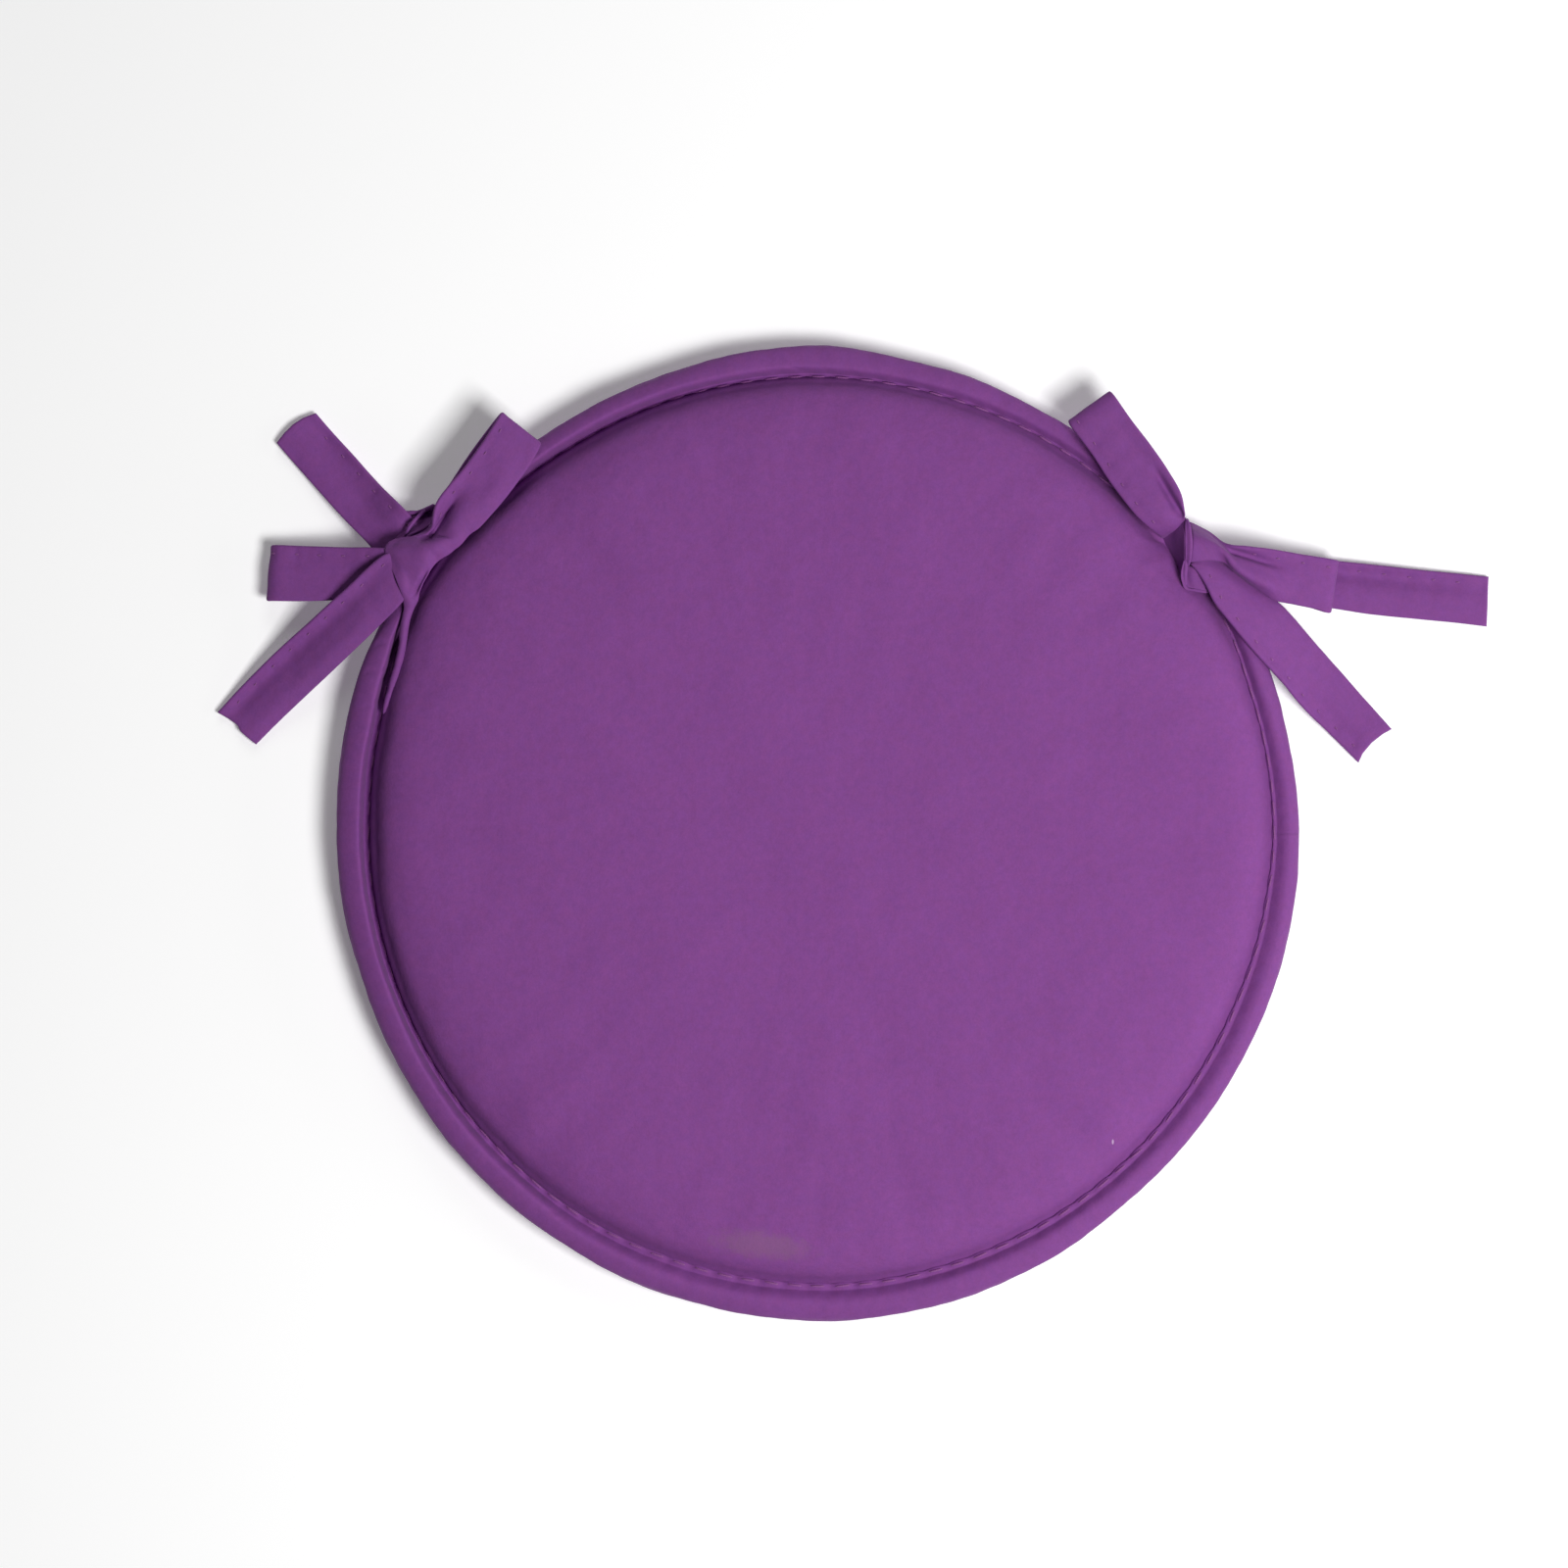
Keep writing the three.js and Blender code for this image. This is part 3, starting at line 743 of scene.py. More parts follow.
def make_pad(material):
    """The pad: quads between its rings, and a fan of triangles round a point in each middle."""
    rings = pad_rings(simulated_swelling())
    points = np.vstack([rings.reshape(-1, 3), [[0, 0, 0]], [rings[-1].mean(0)]])
    quads = grid_quads(len(rings), PAD_SECTORS, column_loop=True)
    count = len(rings) * PAD_SECTORS
    last = count - PAD_SECTORS
    here = np.arange(PAD_SECTORS)
    there = (here + 1) % PAD_SECTORS
    under_fan = np.stack([np.full_like(here, count), there, here], axis=1)
    top_fan = np.stack([np.full_like(here, count + 1), last + here, last + there], axis=1)
    faces = [face for group in (quads, under_fan, top_fan) for face in group.tolist()]
    return link_mesh("pad_cover", points, faces, material)


# The edge binding

BINDING_TURN_STEPS = BINDING_STITCHES * 10
BINDING_COLUMNS = 80
BINDING_SECTION_STEPS = 2000

# Unevenness of the roll: height, length, seed. It comes in over the first part of the roll, and
# its waves differ between the two sides of the binding.
ROLL_WAVES = [(0.26, 42, 11), (0.09, 9, 12)]
ROLL_START = 0.9
PLACE_SPREAD = 4
SIDE_SPREAD = 30

# The lip: how far it puffs up between holes and is drawn down at one, half the width of that in
# places, and how it varies round the turn: mean, swing, length of a swing, seed
LIP_PUFF = 0.16
HOLE_DEPTH = 0.62
LIP_WIDTH = 0.42
LIP_UNEVEN = (0.75, 0.4, 23, 14)

# Small gathers of the valley by each hole: depth, place, half width in places
GATHERS = (0.14, 1.2, 0.35)

# The lip's edge: how far it steps back at each hole, how far it hugs the pad at most, the angle in
# degrees where it does, and over how many places both fade
LIP_SCALLOP = 0.35
LIP_HUG = 0.42
LIP_HUG_ANGLE = -40
LIP_EDGE_FADE = 0.3

# Creases across the roll: angle and place at each end, depth, half width in mm. Each fades at both
# ends over a few tenths of a place.
CREASE_FADE = 0.3
ROLL_CREASES = [
    (158.9, 1.4, 160.6, 2.9, 0.45, 0.7),
    (155.6, 1.5, 157.0, 2.9, 0.40, 0.7),
    (163.0, 1.4, 164.6, 2.5, 0.25, 0.8),
    (92.0, 1.3, 95.5, 2.8, 0.18, 1.0),
    (236.0, 1.3, 233.0, 2.6, 0.2, 0.9),
    (317.0, 1.3, 319.5, 2.6, 0.18, 1.0),
]


def binding_base(angle, place, of_lip, of_crest, fixed, above):
    """Radius and height of the plain binding at angles and places of its section.

    The three stretches are laid out between the seam, the valley, the crest and the outline. Above
    is 1 over the seam and 0 under it, where the binding lies the same all round.
    """
    turn = np.degrees(angle)
    valley, crest, lip_height, crest_height = (
        eased_table(BINDING_LIE, turn, k + 1) * above + low * (1 - above) for k, low in enumerate(UNDER_LIE)
    )
    to_crest = valley + (place - 1) * (crest - valley)
    to_edge = crest + (place - 2) * (1 - crest)
    share = np.where(place < 1, place * valley, np.where(place < 2, to_crest, to_edge))
    radius = seam_at(angle) + (outline_at(angle) - seam_at(angle)) * share
    return radius, SEAM_HEIGHT + lip_height * of_lip + crest_height * of_crest + fixed + 0 * radius


def stitch_phase(angle):
    """0 in the middle of a stitch and 1 at the hole between two stitches."""
    return 0.5 - 0.5 * np.cos(BINDING_STITCHES * angle)


def binding_relief(angle, place, above):
    """How far the binding's cloth stands off its plain section, along the section's normal.

    The roll is uneven in slow waves and finer gathers. The lip puffs up between holes and is drawn
    down at each of them, with a bell across it, and creases cross the roll.
    """
    along = angle * EDGE_RADIUS
    roll = ease((place - 1) / ROLL_START)
    relief = roll * layered_waves(along, place * PLACE_SPREAD + above * SIDE_SPREAD, ROLL_WAVES)
    phase = stitch_phase(angle)
    mean, swing, length, seed = LIP_UNEVEN
    uneven = mean + swing * waves(along, 0, length, seed)
    puff = LIP_PUFF * (1 - phase) - HOLE_DEPTH * phase**3
    gather, middle, width = GATHERS
    relief = relief + uneven * puff * bell(place - STITCH_PLACE, LIP_WIDTH)
    relief = relief - gather * (phase * bell(place - middle, width))
    for from_angle, from_place, to_angle, to_place, depth, wide in ROLL_CREASES:
        mid = from_angle + (to_angle - from_angle) * (place - from_place) / (to_place - from_place)
        off = np.radians(np.degrees(angle) - mid) * EDGE_RADIUS
        inside = ease((place - from_place) / CREASE_FADE) * ease((to_place - place) / CREASE_FADE)
        relief = relief - depth * bell(off, wide) * inside * above
    return relief


def binding_section():
    """Evenly spaced points of the closed section: its five columns, and the distance round it.

    The table's rows over the seam and the same rows mirrored under it make one smooth loop. Its
    even spacing is that of the section as it lies under the seam.
    """
    over = np.hstack([BINDING_SECTION, np.ones((len(BINDING_SECTION), 1))])
    under = over[-2:0:-1] * [1, -1, -1, -1, 0]
    over[[0, -1], 4] = 0.5
    loop = np.vstack([over, under])
    valley, crest, lip, top = UNDER_LIE
    width = np.interp(loop[:, 0], [0, 1, 2, 3], [0, valley, crest, 1]) * (EDGE_RADIUS - SEAM_RADIUS)
    height = loop[:, 1] * lip + loop[:, 2] * top + loop[:, 3]
    small = 1e-3  # so that the columns hardly count in the curve's spacing
    loop = np.column_stack([width, height, loop * small])
    lap = 3
    wrapped = np.vstack([loop[-lap:], loop, loop[:lap + 1]])
    t = np.linspace(lap, lap + len(loop), BINDING_SECTION_STEPS + 1)
    run = distance_along(curve_through(wrapped, t)[:, :2])
    around = np.linspace(0, run[-1], BINDING_COLUMNS, endpoint=False)
    return curve_through(wrapped, np.interp(around, run, t))[:, 2:].T / small, around


def make_binding(material):
    """The binding: its section carried round the turn, moved along its normal by the relief.

    The lip's edge steps back at each hole, and by a cosine round the turn it hugs the pad.
    """
    columns, around = binding_section()
    place, above = np.clip(columns[0], 0, 3), np.clip(columns[4], 0, 1)
    angle = (np.arange(BINDING_TURN_STEPS) * 2 * np.pi / BINDING_TURN_STEPS)[:, None]
    radius, height = binding_base(angle, place, *columns[1:4], above)
    out_run = np.roll(radius, -1, axis=1) - np.roll(radius, 1, axis=1)
    up_run = np.roll(height, -1, axis=1) - np.roll(height, 1, axis=1)
    length = np.hypot(out_run, up_run)
    relief = binding_relief(angle, place, above)
    hug = LIP_HUG * (0.5 + 0.5 * np.cos(angle - np.radians(LIP_HUG_ANGLE)))
    edge = (LIP_SCALLOP * stitch_phase(angle) - hug) * np.exp(-place / LIP_EDGE_FADE)
    radius = radius - relief * up_run / length + edge
    height = height + relief * out_run / length
    points = np.stack([radius * np.cos(angle), radius * np.sin(angle), height], axis=-1)
    along = np.broadcast_to(angle * EDGE_RADIUS, points.shape[:2])
    cloth = np.stack([along, np.broadcast_to(around, points.shape[:2])], axis=-1).reshape(-1, 2)
    quads = grid_quads(*points.shape[:2], row_loop=True, column_loop=True)
    return make_piece("bound_edge", [(points.reshape(-1, 3), quads, cloth)], material)


# Sewing. A stitch is a tube of six sides.

THREAD_SIDES = 6
STITCH_RINGS = 9
BINDING_THREAD = 0.3
TIE_THREAD = 0.26
LEAST_TAPER = 0.03
NEXT_STITCH = 9.0

# Binding stitches: seed, least and most of their length, unevenness of their place round the turn in
# radians and across the lip in places, and how far they bow out and how far their ends sink in
STITCH_SEED = 21
STITCH_LENGTHS = (0.9, 1.05)
STITCH_SHIFT = 0.0009
STITCH_SLANT = 0.07
STITCH_BOW = 0.30
STITCH_SINK = 0.75


def thread_parts(paths, ups, radius):
    """Stitches as closed tubes: each path's points, its normals and the thread's radius.

    The radius shrinks to the ends as √(1 - s⁶), s from -1 to 1 along the stitch. Each stitch lies
    further on across its flat cloth, so that no two are blotched alike.
    """
    count, rings = paths.shape[:2]
    run = unit(np.gradient(paths, axis=1))
    side = unit(np.cross(run, ups))
    up = np.cross(side, run)
    s = np.linspace(-1, 1, rings)
    thick = radius * np.sqrt(np.maximum(1 - s**6, LEAST_TAPER))[None, :, None, None]
    turn = np.arange(THREAD_SIDES) * 2 * np.pi / THREAD_SIDES
    ring = side[:, :, None] * np.cos(turn)[:, None] + up[:, :, None] * np.sin(turn)[:, None]
    points = (paths[:, :, None] + ring * thick).reshape(count, -1, 3)
    far = (rings - 1) * THREAD_SIDES
    near_cap = [(3, 2, 1, 0), (5, 4, 3, 0)]
    far_cap = [(far, far + 1, far + 2, far + 3), (far, far + 3, far + 4, far + 5)]
    quads = np.vstack([grid_quads(rings, THREAD_SIDES, column_loop=True), near_cap, far_cap])
    first = np.arange(count)[:, None] * points.shape[1]
    every = (quads[None] + first[..., None]).reshape(-1, 4)
    along = np.broadcast_to(np.repeat(s * BINDING_STITCH_LENGTH / 2, THREAD_SIDES), points.shape[:2])
    around = np.tile(turn, rings) + np.arange(count)[:, None] * NEXT_STITCH
    return points.reshape(-1, 3), every, np.stack([along, around], axis=-1).reshape(-1, 2)


def make_binding_stitches(material):
    """Topstitches on both faces of the lip: each rises out of one hole and sinks into the next."""
    s = np.linspace(-1, 1, STITCH_RINGS)
    draw = np.random.default_rng(STITCH_SEED)
    middle = np.arange(BINDING_STITCHES) * 2 * np.pi / BINDING_STITCHES
    middle = middle + draw.normal(0, STITCH_SHIFT, BINDING_STITCHES)
    half = BINDING_STITCH_LENGTH / 2 / SEAM_RADIUS * draw.uniform(*STITCH_LENGTHS, BINDING_STITCHES)
    angle = middle[:, None] + s * half[:, None]
    place = STITCH_PLACE + draw.normal(0, STITCH_SLANT, BINDING_STITCHES)[:, None] * s
    rise = STITCH_BOW - STITCH_SINK * np.abs(s) ** 3
    parts = []
    for above in (1, 0):
        face = 2 * above - 1
        radius, height = binding_base(angle, place, face, 0, face * rise, above)
        points = np.stack([radius * np.cos(angle), radius * np.sin(angle), height], axis=-1)
        parts.append(thread_parts(points, points * 0 + [0, 0, face], BINDING_THREAD))
    return make_piece("binding_stitches", parts, material)


# The ties. A band is a strip of doubled cloth, a row for each place along it. The columns are the
# point a on one long edge, the point b on the other, and how far the cloth stands off the straight
# line between them at a quarter, a half and three quarters of its width. Where a band starts in a
# knot, and in a fold, a row has the x, y and z of five points across the cloth instead.

NET_POINTS = 5

# A band's grid: its columns, how much they crowd to the edges and how much they are even, the
# spacing of its rows, the least number of them, and those added near each end to round it
BAND_COLUMNS = 35
EDGE_CROWDING = (0.7, 0.3)
BAND_SPACING = 0.65
LEAST_ROWS = 8
END_ROWS = np.array([0.0, 0.15, 0.45])
NET_STEPS = 24

# Its cloth: how far in its edges are round, the stretch that a shaped end bends, the share of the
# relief that its underside takes, how far apart two bands lie on the flat cloth, and the least
# height of its top and underside over the floor
EDGE_ROUND = 0.75
END_REACH = 7
UNDER_RELIEF = 0.3
NEXT_BAND = 40
TOP_CLEARANCE = 0.1
UNDER_CLEARANCE = 0.05

# Its stitches: how far in from the edge, in millimetres and as a share of a slim band, their length,
# the unevenness of their places, the bare stretch at the end, and how far they bow out and sink in
STITCH_INSET = 2.7
SLIM_INSET = 0.3
TIE_STITCH_LENGTH = 1.2
TIE_STITCH_SHIFT = 0.12
BARE_END = 3
TIE_STITCH_BOW = 0.10
TIE_STITCH_SINK = 0.26

# Slack of the doubled cloth: height, length. Each band and fold has its own seeds.
BAND_WAVES = [(0.16, 21), (0.07, 8)]
LEFT_SEED = 100
RIGHT_SEED = 200
FOLD_SEED = 50

# Along a sewn edge: depth and half width of the groove, and of the dent at each stitch
SEWN_GROOVE = (0.05, 0.9)
SEWN_DENT = (0.22, 1.5)

# How far a band's end reaches past its last row, in mm: share of the width from a to b, reach
PLAIN_END = [(0, 0), (1, 0)]
ROUND_END = [(0, 0), (0.25, 1.0), (0.5, 1.5), (0.75, 1.2), (1, 0)]
HOLLOW_END = [(0, 0), (0.2, -0.9), (0.5, -1.5), (0.8, -1.1), (1, 0)]
NOTCHED_END = [(0, 0), (0.3, -0.1), (0.42, -0.2), (0.52, -1.0), (0.75, -0.7), (1, 0)]

# Bands of the bows. The stitch is the long edge that is sewn, and a band is sewn from a distance
# along it where its start lies hidden. Loops run out and back.
LEFT_BANDS = {
    "upper_end": {"stitch": "b", "end": ROUND_END, "rows": [
        (-130, 81.3, 10.4, -121.6, 92, 8.4, 0, 0, 0),
        (-135.2, 84.3, 9.8, -124.9, 96.6, 9, 0.2, -0.3, -0.3),
        (-140, 89.8, 7.6, -128.8, 100.9, 9.8, -0.2, -0.9, -0.5),
        (-148, 97.9, 4.6, -136.7, 108.6, 5.2, -0.3, -1.1, -0.7),
        (-156.4, 107.2, 2.8, -144.7, 117.5, 3.1, 0, -0.8, -0.9),
        (-163.5, 115.2, 1.4, -151.6, 125, 1.4, 0.4, 0.2, -0.5),
        (-169, 121.6, 1.5, -156.7, 130.9, 1.7, 0.4, 0.5, 0.2),
    ]},
    "outer_loop": {"stitch": "b", "rows": [
        (-124.5, 79, 15.5, -124.5, 86.3, 15.5, 0, 0, 0),
        (-130.7, 79, 14.8, -132.2, 88.1, 15, -0.4, -0.4, 0.4),
        (-136.8, 76, 13, -138.3, 88.6, 13.6, -0.6, -0.8, 0.1),
        (-144.6, 72.7, 11, -146.1, 88.7, 11.5, -0.3, -0.7, -0.5),
        (-152.3, 72.2, 9.4, -153.8, 89, 9.8, 0.1, -0.2, -0.6),
        (-161.5, 72, 8, -161.5, 89.3, 8.1, 0.3, 0.3, -0.3),
        (-169.5, 72.1, 7, -168.3, 89.6, 7, 0.2, 0.3, 0.1),
        (-171.3, 72.1, 5.4, -169.9, 89.6, 5.4, 0, 0, 0),
        (-170, 72.2, 3.9, -168.8, 89.4, 3.9, 0, 0, 0),
        (-161.7, 72.6, 4.6, -161.4, 88.5, 4.6, 0, 0, 0),
        (-150.9, 73.8, 7, -150.9, 87.8, 7, 0, 0, 0),
        (-140, 76.7, 10.6, -140, 86.8, 10.6, 0, 0, 0),
        (-131.7, 79.1, 13, -131.7, 86.1, 13, 0, 0, 0),
        (-124.6, 79.7, 14, -124.6, 85.7, 14, 0, 0, 0),
    ]},
    "lower_end": {"stitch": "b", "end": NOTCHED_END, "rows": [
        (-123.9, 78.4, 15.6, -129.7, 87.5, 16, 0, 0, 0),
        (-128.7, 71.7, 16.8, -134.5, 86.3, 16.6, 0.4, 0.3, 0),
        (-135.9, 64.5, 14.2, -146.8, 75.7, 14.2, 0.7, 0, -1.1),
        (-142.7, 58.1, 11.5, -154, 69.4, 11.7, 0.8, -0.3, -1.6),
        (-152.1, 49.4, 7.8, -163.3, 61.2, 8, 0.8, -0.3, -1.7),
        (-161.1, 41.2, 4.4, -172.4, 53.1, 4.8, 0.8, -0.2, -1.6),
        (-168.6, 34.2, 2.3, -180.2, 45.2, 3, 0.8, -0.1, -1.5),
        (-175.4, 27.5, 1, -187.5, 37.5, 1.4, 0.6, 0.3, -0.2),
    ]},
    "upper_loop": {"stitch": "a", "sewn from": 66, "knot": [
        (-135.5, 36.8, 10.4, -135.2, 36.9, 10.8, -135, 37, 10.9, -134.8, 37.1, 10.7, -134.6, 37.1, 10.2),
        (-134.6, 40.8, 11.2, -134.3, 40.8, 11.8, -134, 40.7, 12.0, -133.7, 40.7, 11.8, -133.4, 40.6, 11.0),
        (-133.2, 45.6, 12.0, -132.8, 45.6, 12.8, -132.4, 45.6, 13.0, -132.1, 45.5, 12.7, -131.7, 45.5, 11.8),
        (-131.8, 50.5, 12.9, -131.4, 50.5, 13.7, -130.9, 50.4, 13.9, -130.5, 50.4, 13.6, -130.2, 50.4, 12.6),
        (-130.3, 56.6, 13.9, -129.8, 56.5, 14.7, -129.4, 56.5, 14.9, -128.9, 56.5, 14.6, -128.5, 56.6, 13.6),
        (-129.5, 62.3, 14.5, -129, 62.2, 15.2, -128.5, 62.2, 15.5, -128.1, 62.1, 15.1, -127.7, 62, 14.2),
        (-129, 66.6, 14.8, -128.5, 66.5, 15.6, -127.9, 66.4, 15.9, -127.3, 66.5, 15.5, -126.8, 66.6, 14.5),
        (-128.3, 69.9, 15.4, -127.7, 69.7, 16.0, -126.9, 69.6, 16.3, -126.2, 69.7, 16.1, -125.5, 69.9, 15.2),
        (-128.6, 72.6, 16.2, -127.7, 72.1, 17.0, -126.6, 71.8, 17.4, -125.4, 71.8, 17.1, -124.2, 72.3, 15.8),
        (-129.4, 75.3, 17.6, -128.1, 74.7, 18.1, -126.6, 74.2, 17.7, -124.7, 74.4, 17.5, -123.4, 74.7, 17.8),
        (-130.8, 78.6, 18.0, -128.6, 77.8, 18.8, -126.5, 77.4, 18.3, -124.2, 77.4, 18.4, -122.4, 77.2, 19.0),
        (-132.2, 81.7, 16.6, -129.6, 81, 18.3, -126.8, 80.7, 18.7, -123.6, 80.4, 19.3, -121, 79.5, 19.8),
        (-133.7, 85.1, 15.6, -130.2, 84.5, 17.9, -126.8, 84.4, 19.2, -122.5, 83.6, 20.2, -119.8, 81.6, 19.2),
        (-134.4, 88, 15.2, -130.8, 87.3, 17.7, -126.5, 86.9, 19.3, -121.5, 85.8, 20.8, -118.3, 83.6, 18.6),
        (-133.1, 90.1, 14.4, -129, 89.9, 16.7, -124.1, 89.7, 18.7, -119.1, 88.2, 21.0, -116.3, 85.1, 18.8),
        (-129.2, 91.2, 14.6, -125.1, 91.3, 16.2, -121.4, 91.1, 17.6, -117.3, 89.5, 20.8, -114.5, 86.2, 18.8),
        (-124.5, 92.3, 16.2, -121.8, 92.2, 16.4, -119, 91.8, 17.6, -115.5, 90.4, 20.6, -112.7, 87.6, 18.7),
        (-119.8, 93.8, 18.4, -118.7, 93.1, 16.8, -116.3, 92, 18.6, -113.5, 90.7, 20.3, -110.6, 89.4, 18.7),
    ], "rows": [
        (-119.5, 97.1, 19.4, -107.7, 92.6, 18.9, -2.2, 0.7, 1.1),
        (-118.3, 101.9, 19.8, -105, 94.4, 19, -2.4, 0.5, 0.8),
        (-114.8, 107.1, 19.9, -101.6, 98, 19.1, -1.5, 0.1, 0.6),
        (-110.7, 111.9, 19.8, -97.4, 102.9, 18.8, -0.7, -0.4, 0.4),
        (-106.8, 117.1, 19.3, -93.3, 108.3, 18.5, -0.2, 0.3, 0.5),
        (-102.6, 123.2, 18.6, -89.2, 114.1, 17.9, 0.3, 0.4, 0.3),
        (-98.5, 130, 16.9, -86.2, 120, 16.6, 0.1, 0.1, 0.1),
        (-99.4, 129.3, 14.9, -87.5, 119.7, 14.9, 0, 0, 0),
        (-108.2, 117.6, 14.8, -93.3, 111.2, 14.8, 0, 0, 0),
        (-114.9, 107.4, 14.8, -102.4, 101.8, 14.8, 0, 0, 0),
        (-117.9, 102.4, 15.2, -110.3, 94.2, 15.2, 0, 0, 0),
        (-121.8, 92.4, 15.6, -117, 86.3, 15.4, 0, 0, 0),
    ]},
    "upper_pleat": {"thick": 0.7, "rows": [
        (-128.8, 92.5, 12.2, -128.2, 92, 11.8, 0.1, 0.2, 0.1),
        (-126.7, 96.1, 12, -126.1, 95.8, 11.6, 0.2, 0.3, 0.2),
        (-124.6, 98.6, 11, -124, 98.2, 10.6, 0.2, 0.3, 0.2),
        (-122.6, 100.6, 9.8, -122, 100, 9.4, 0.1, 0.2, 0.1),
    ]},
    "lower_pleat": {"thick": 0.7, "rows": [
        (-128.6, 91.5, 13.4, -128.2, 90.9, 13, 0.1, 0.2, 0.1),
        (-126.2, 93.2, 13.2, -125.8, 92.6, 12.8, 0.2, 0.3, 0.2),
        (-123.7, 94.4, 12.2, -123.3, 93.8, 11.8, 0.2, 0.3, 0.2),
        (-121.2, 96.2, 10.4, -120.8, 95.7, 10, 0.1, 0.2, 0.1),
    ]},
}

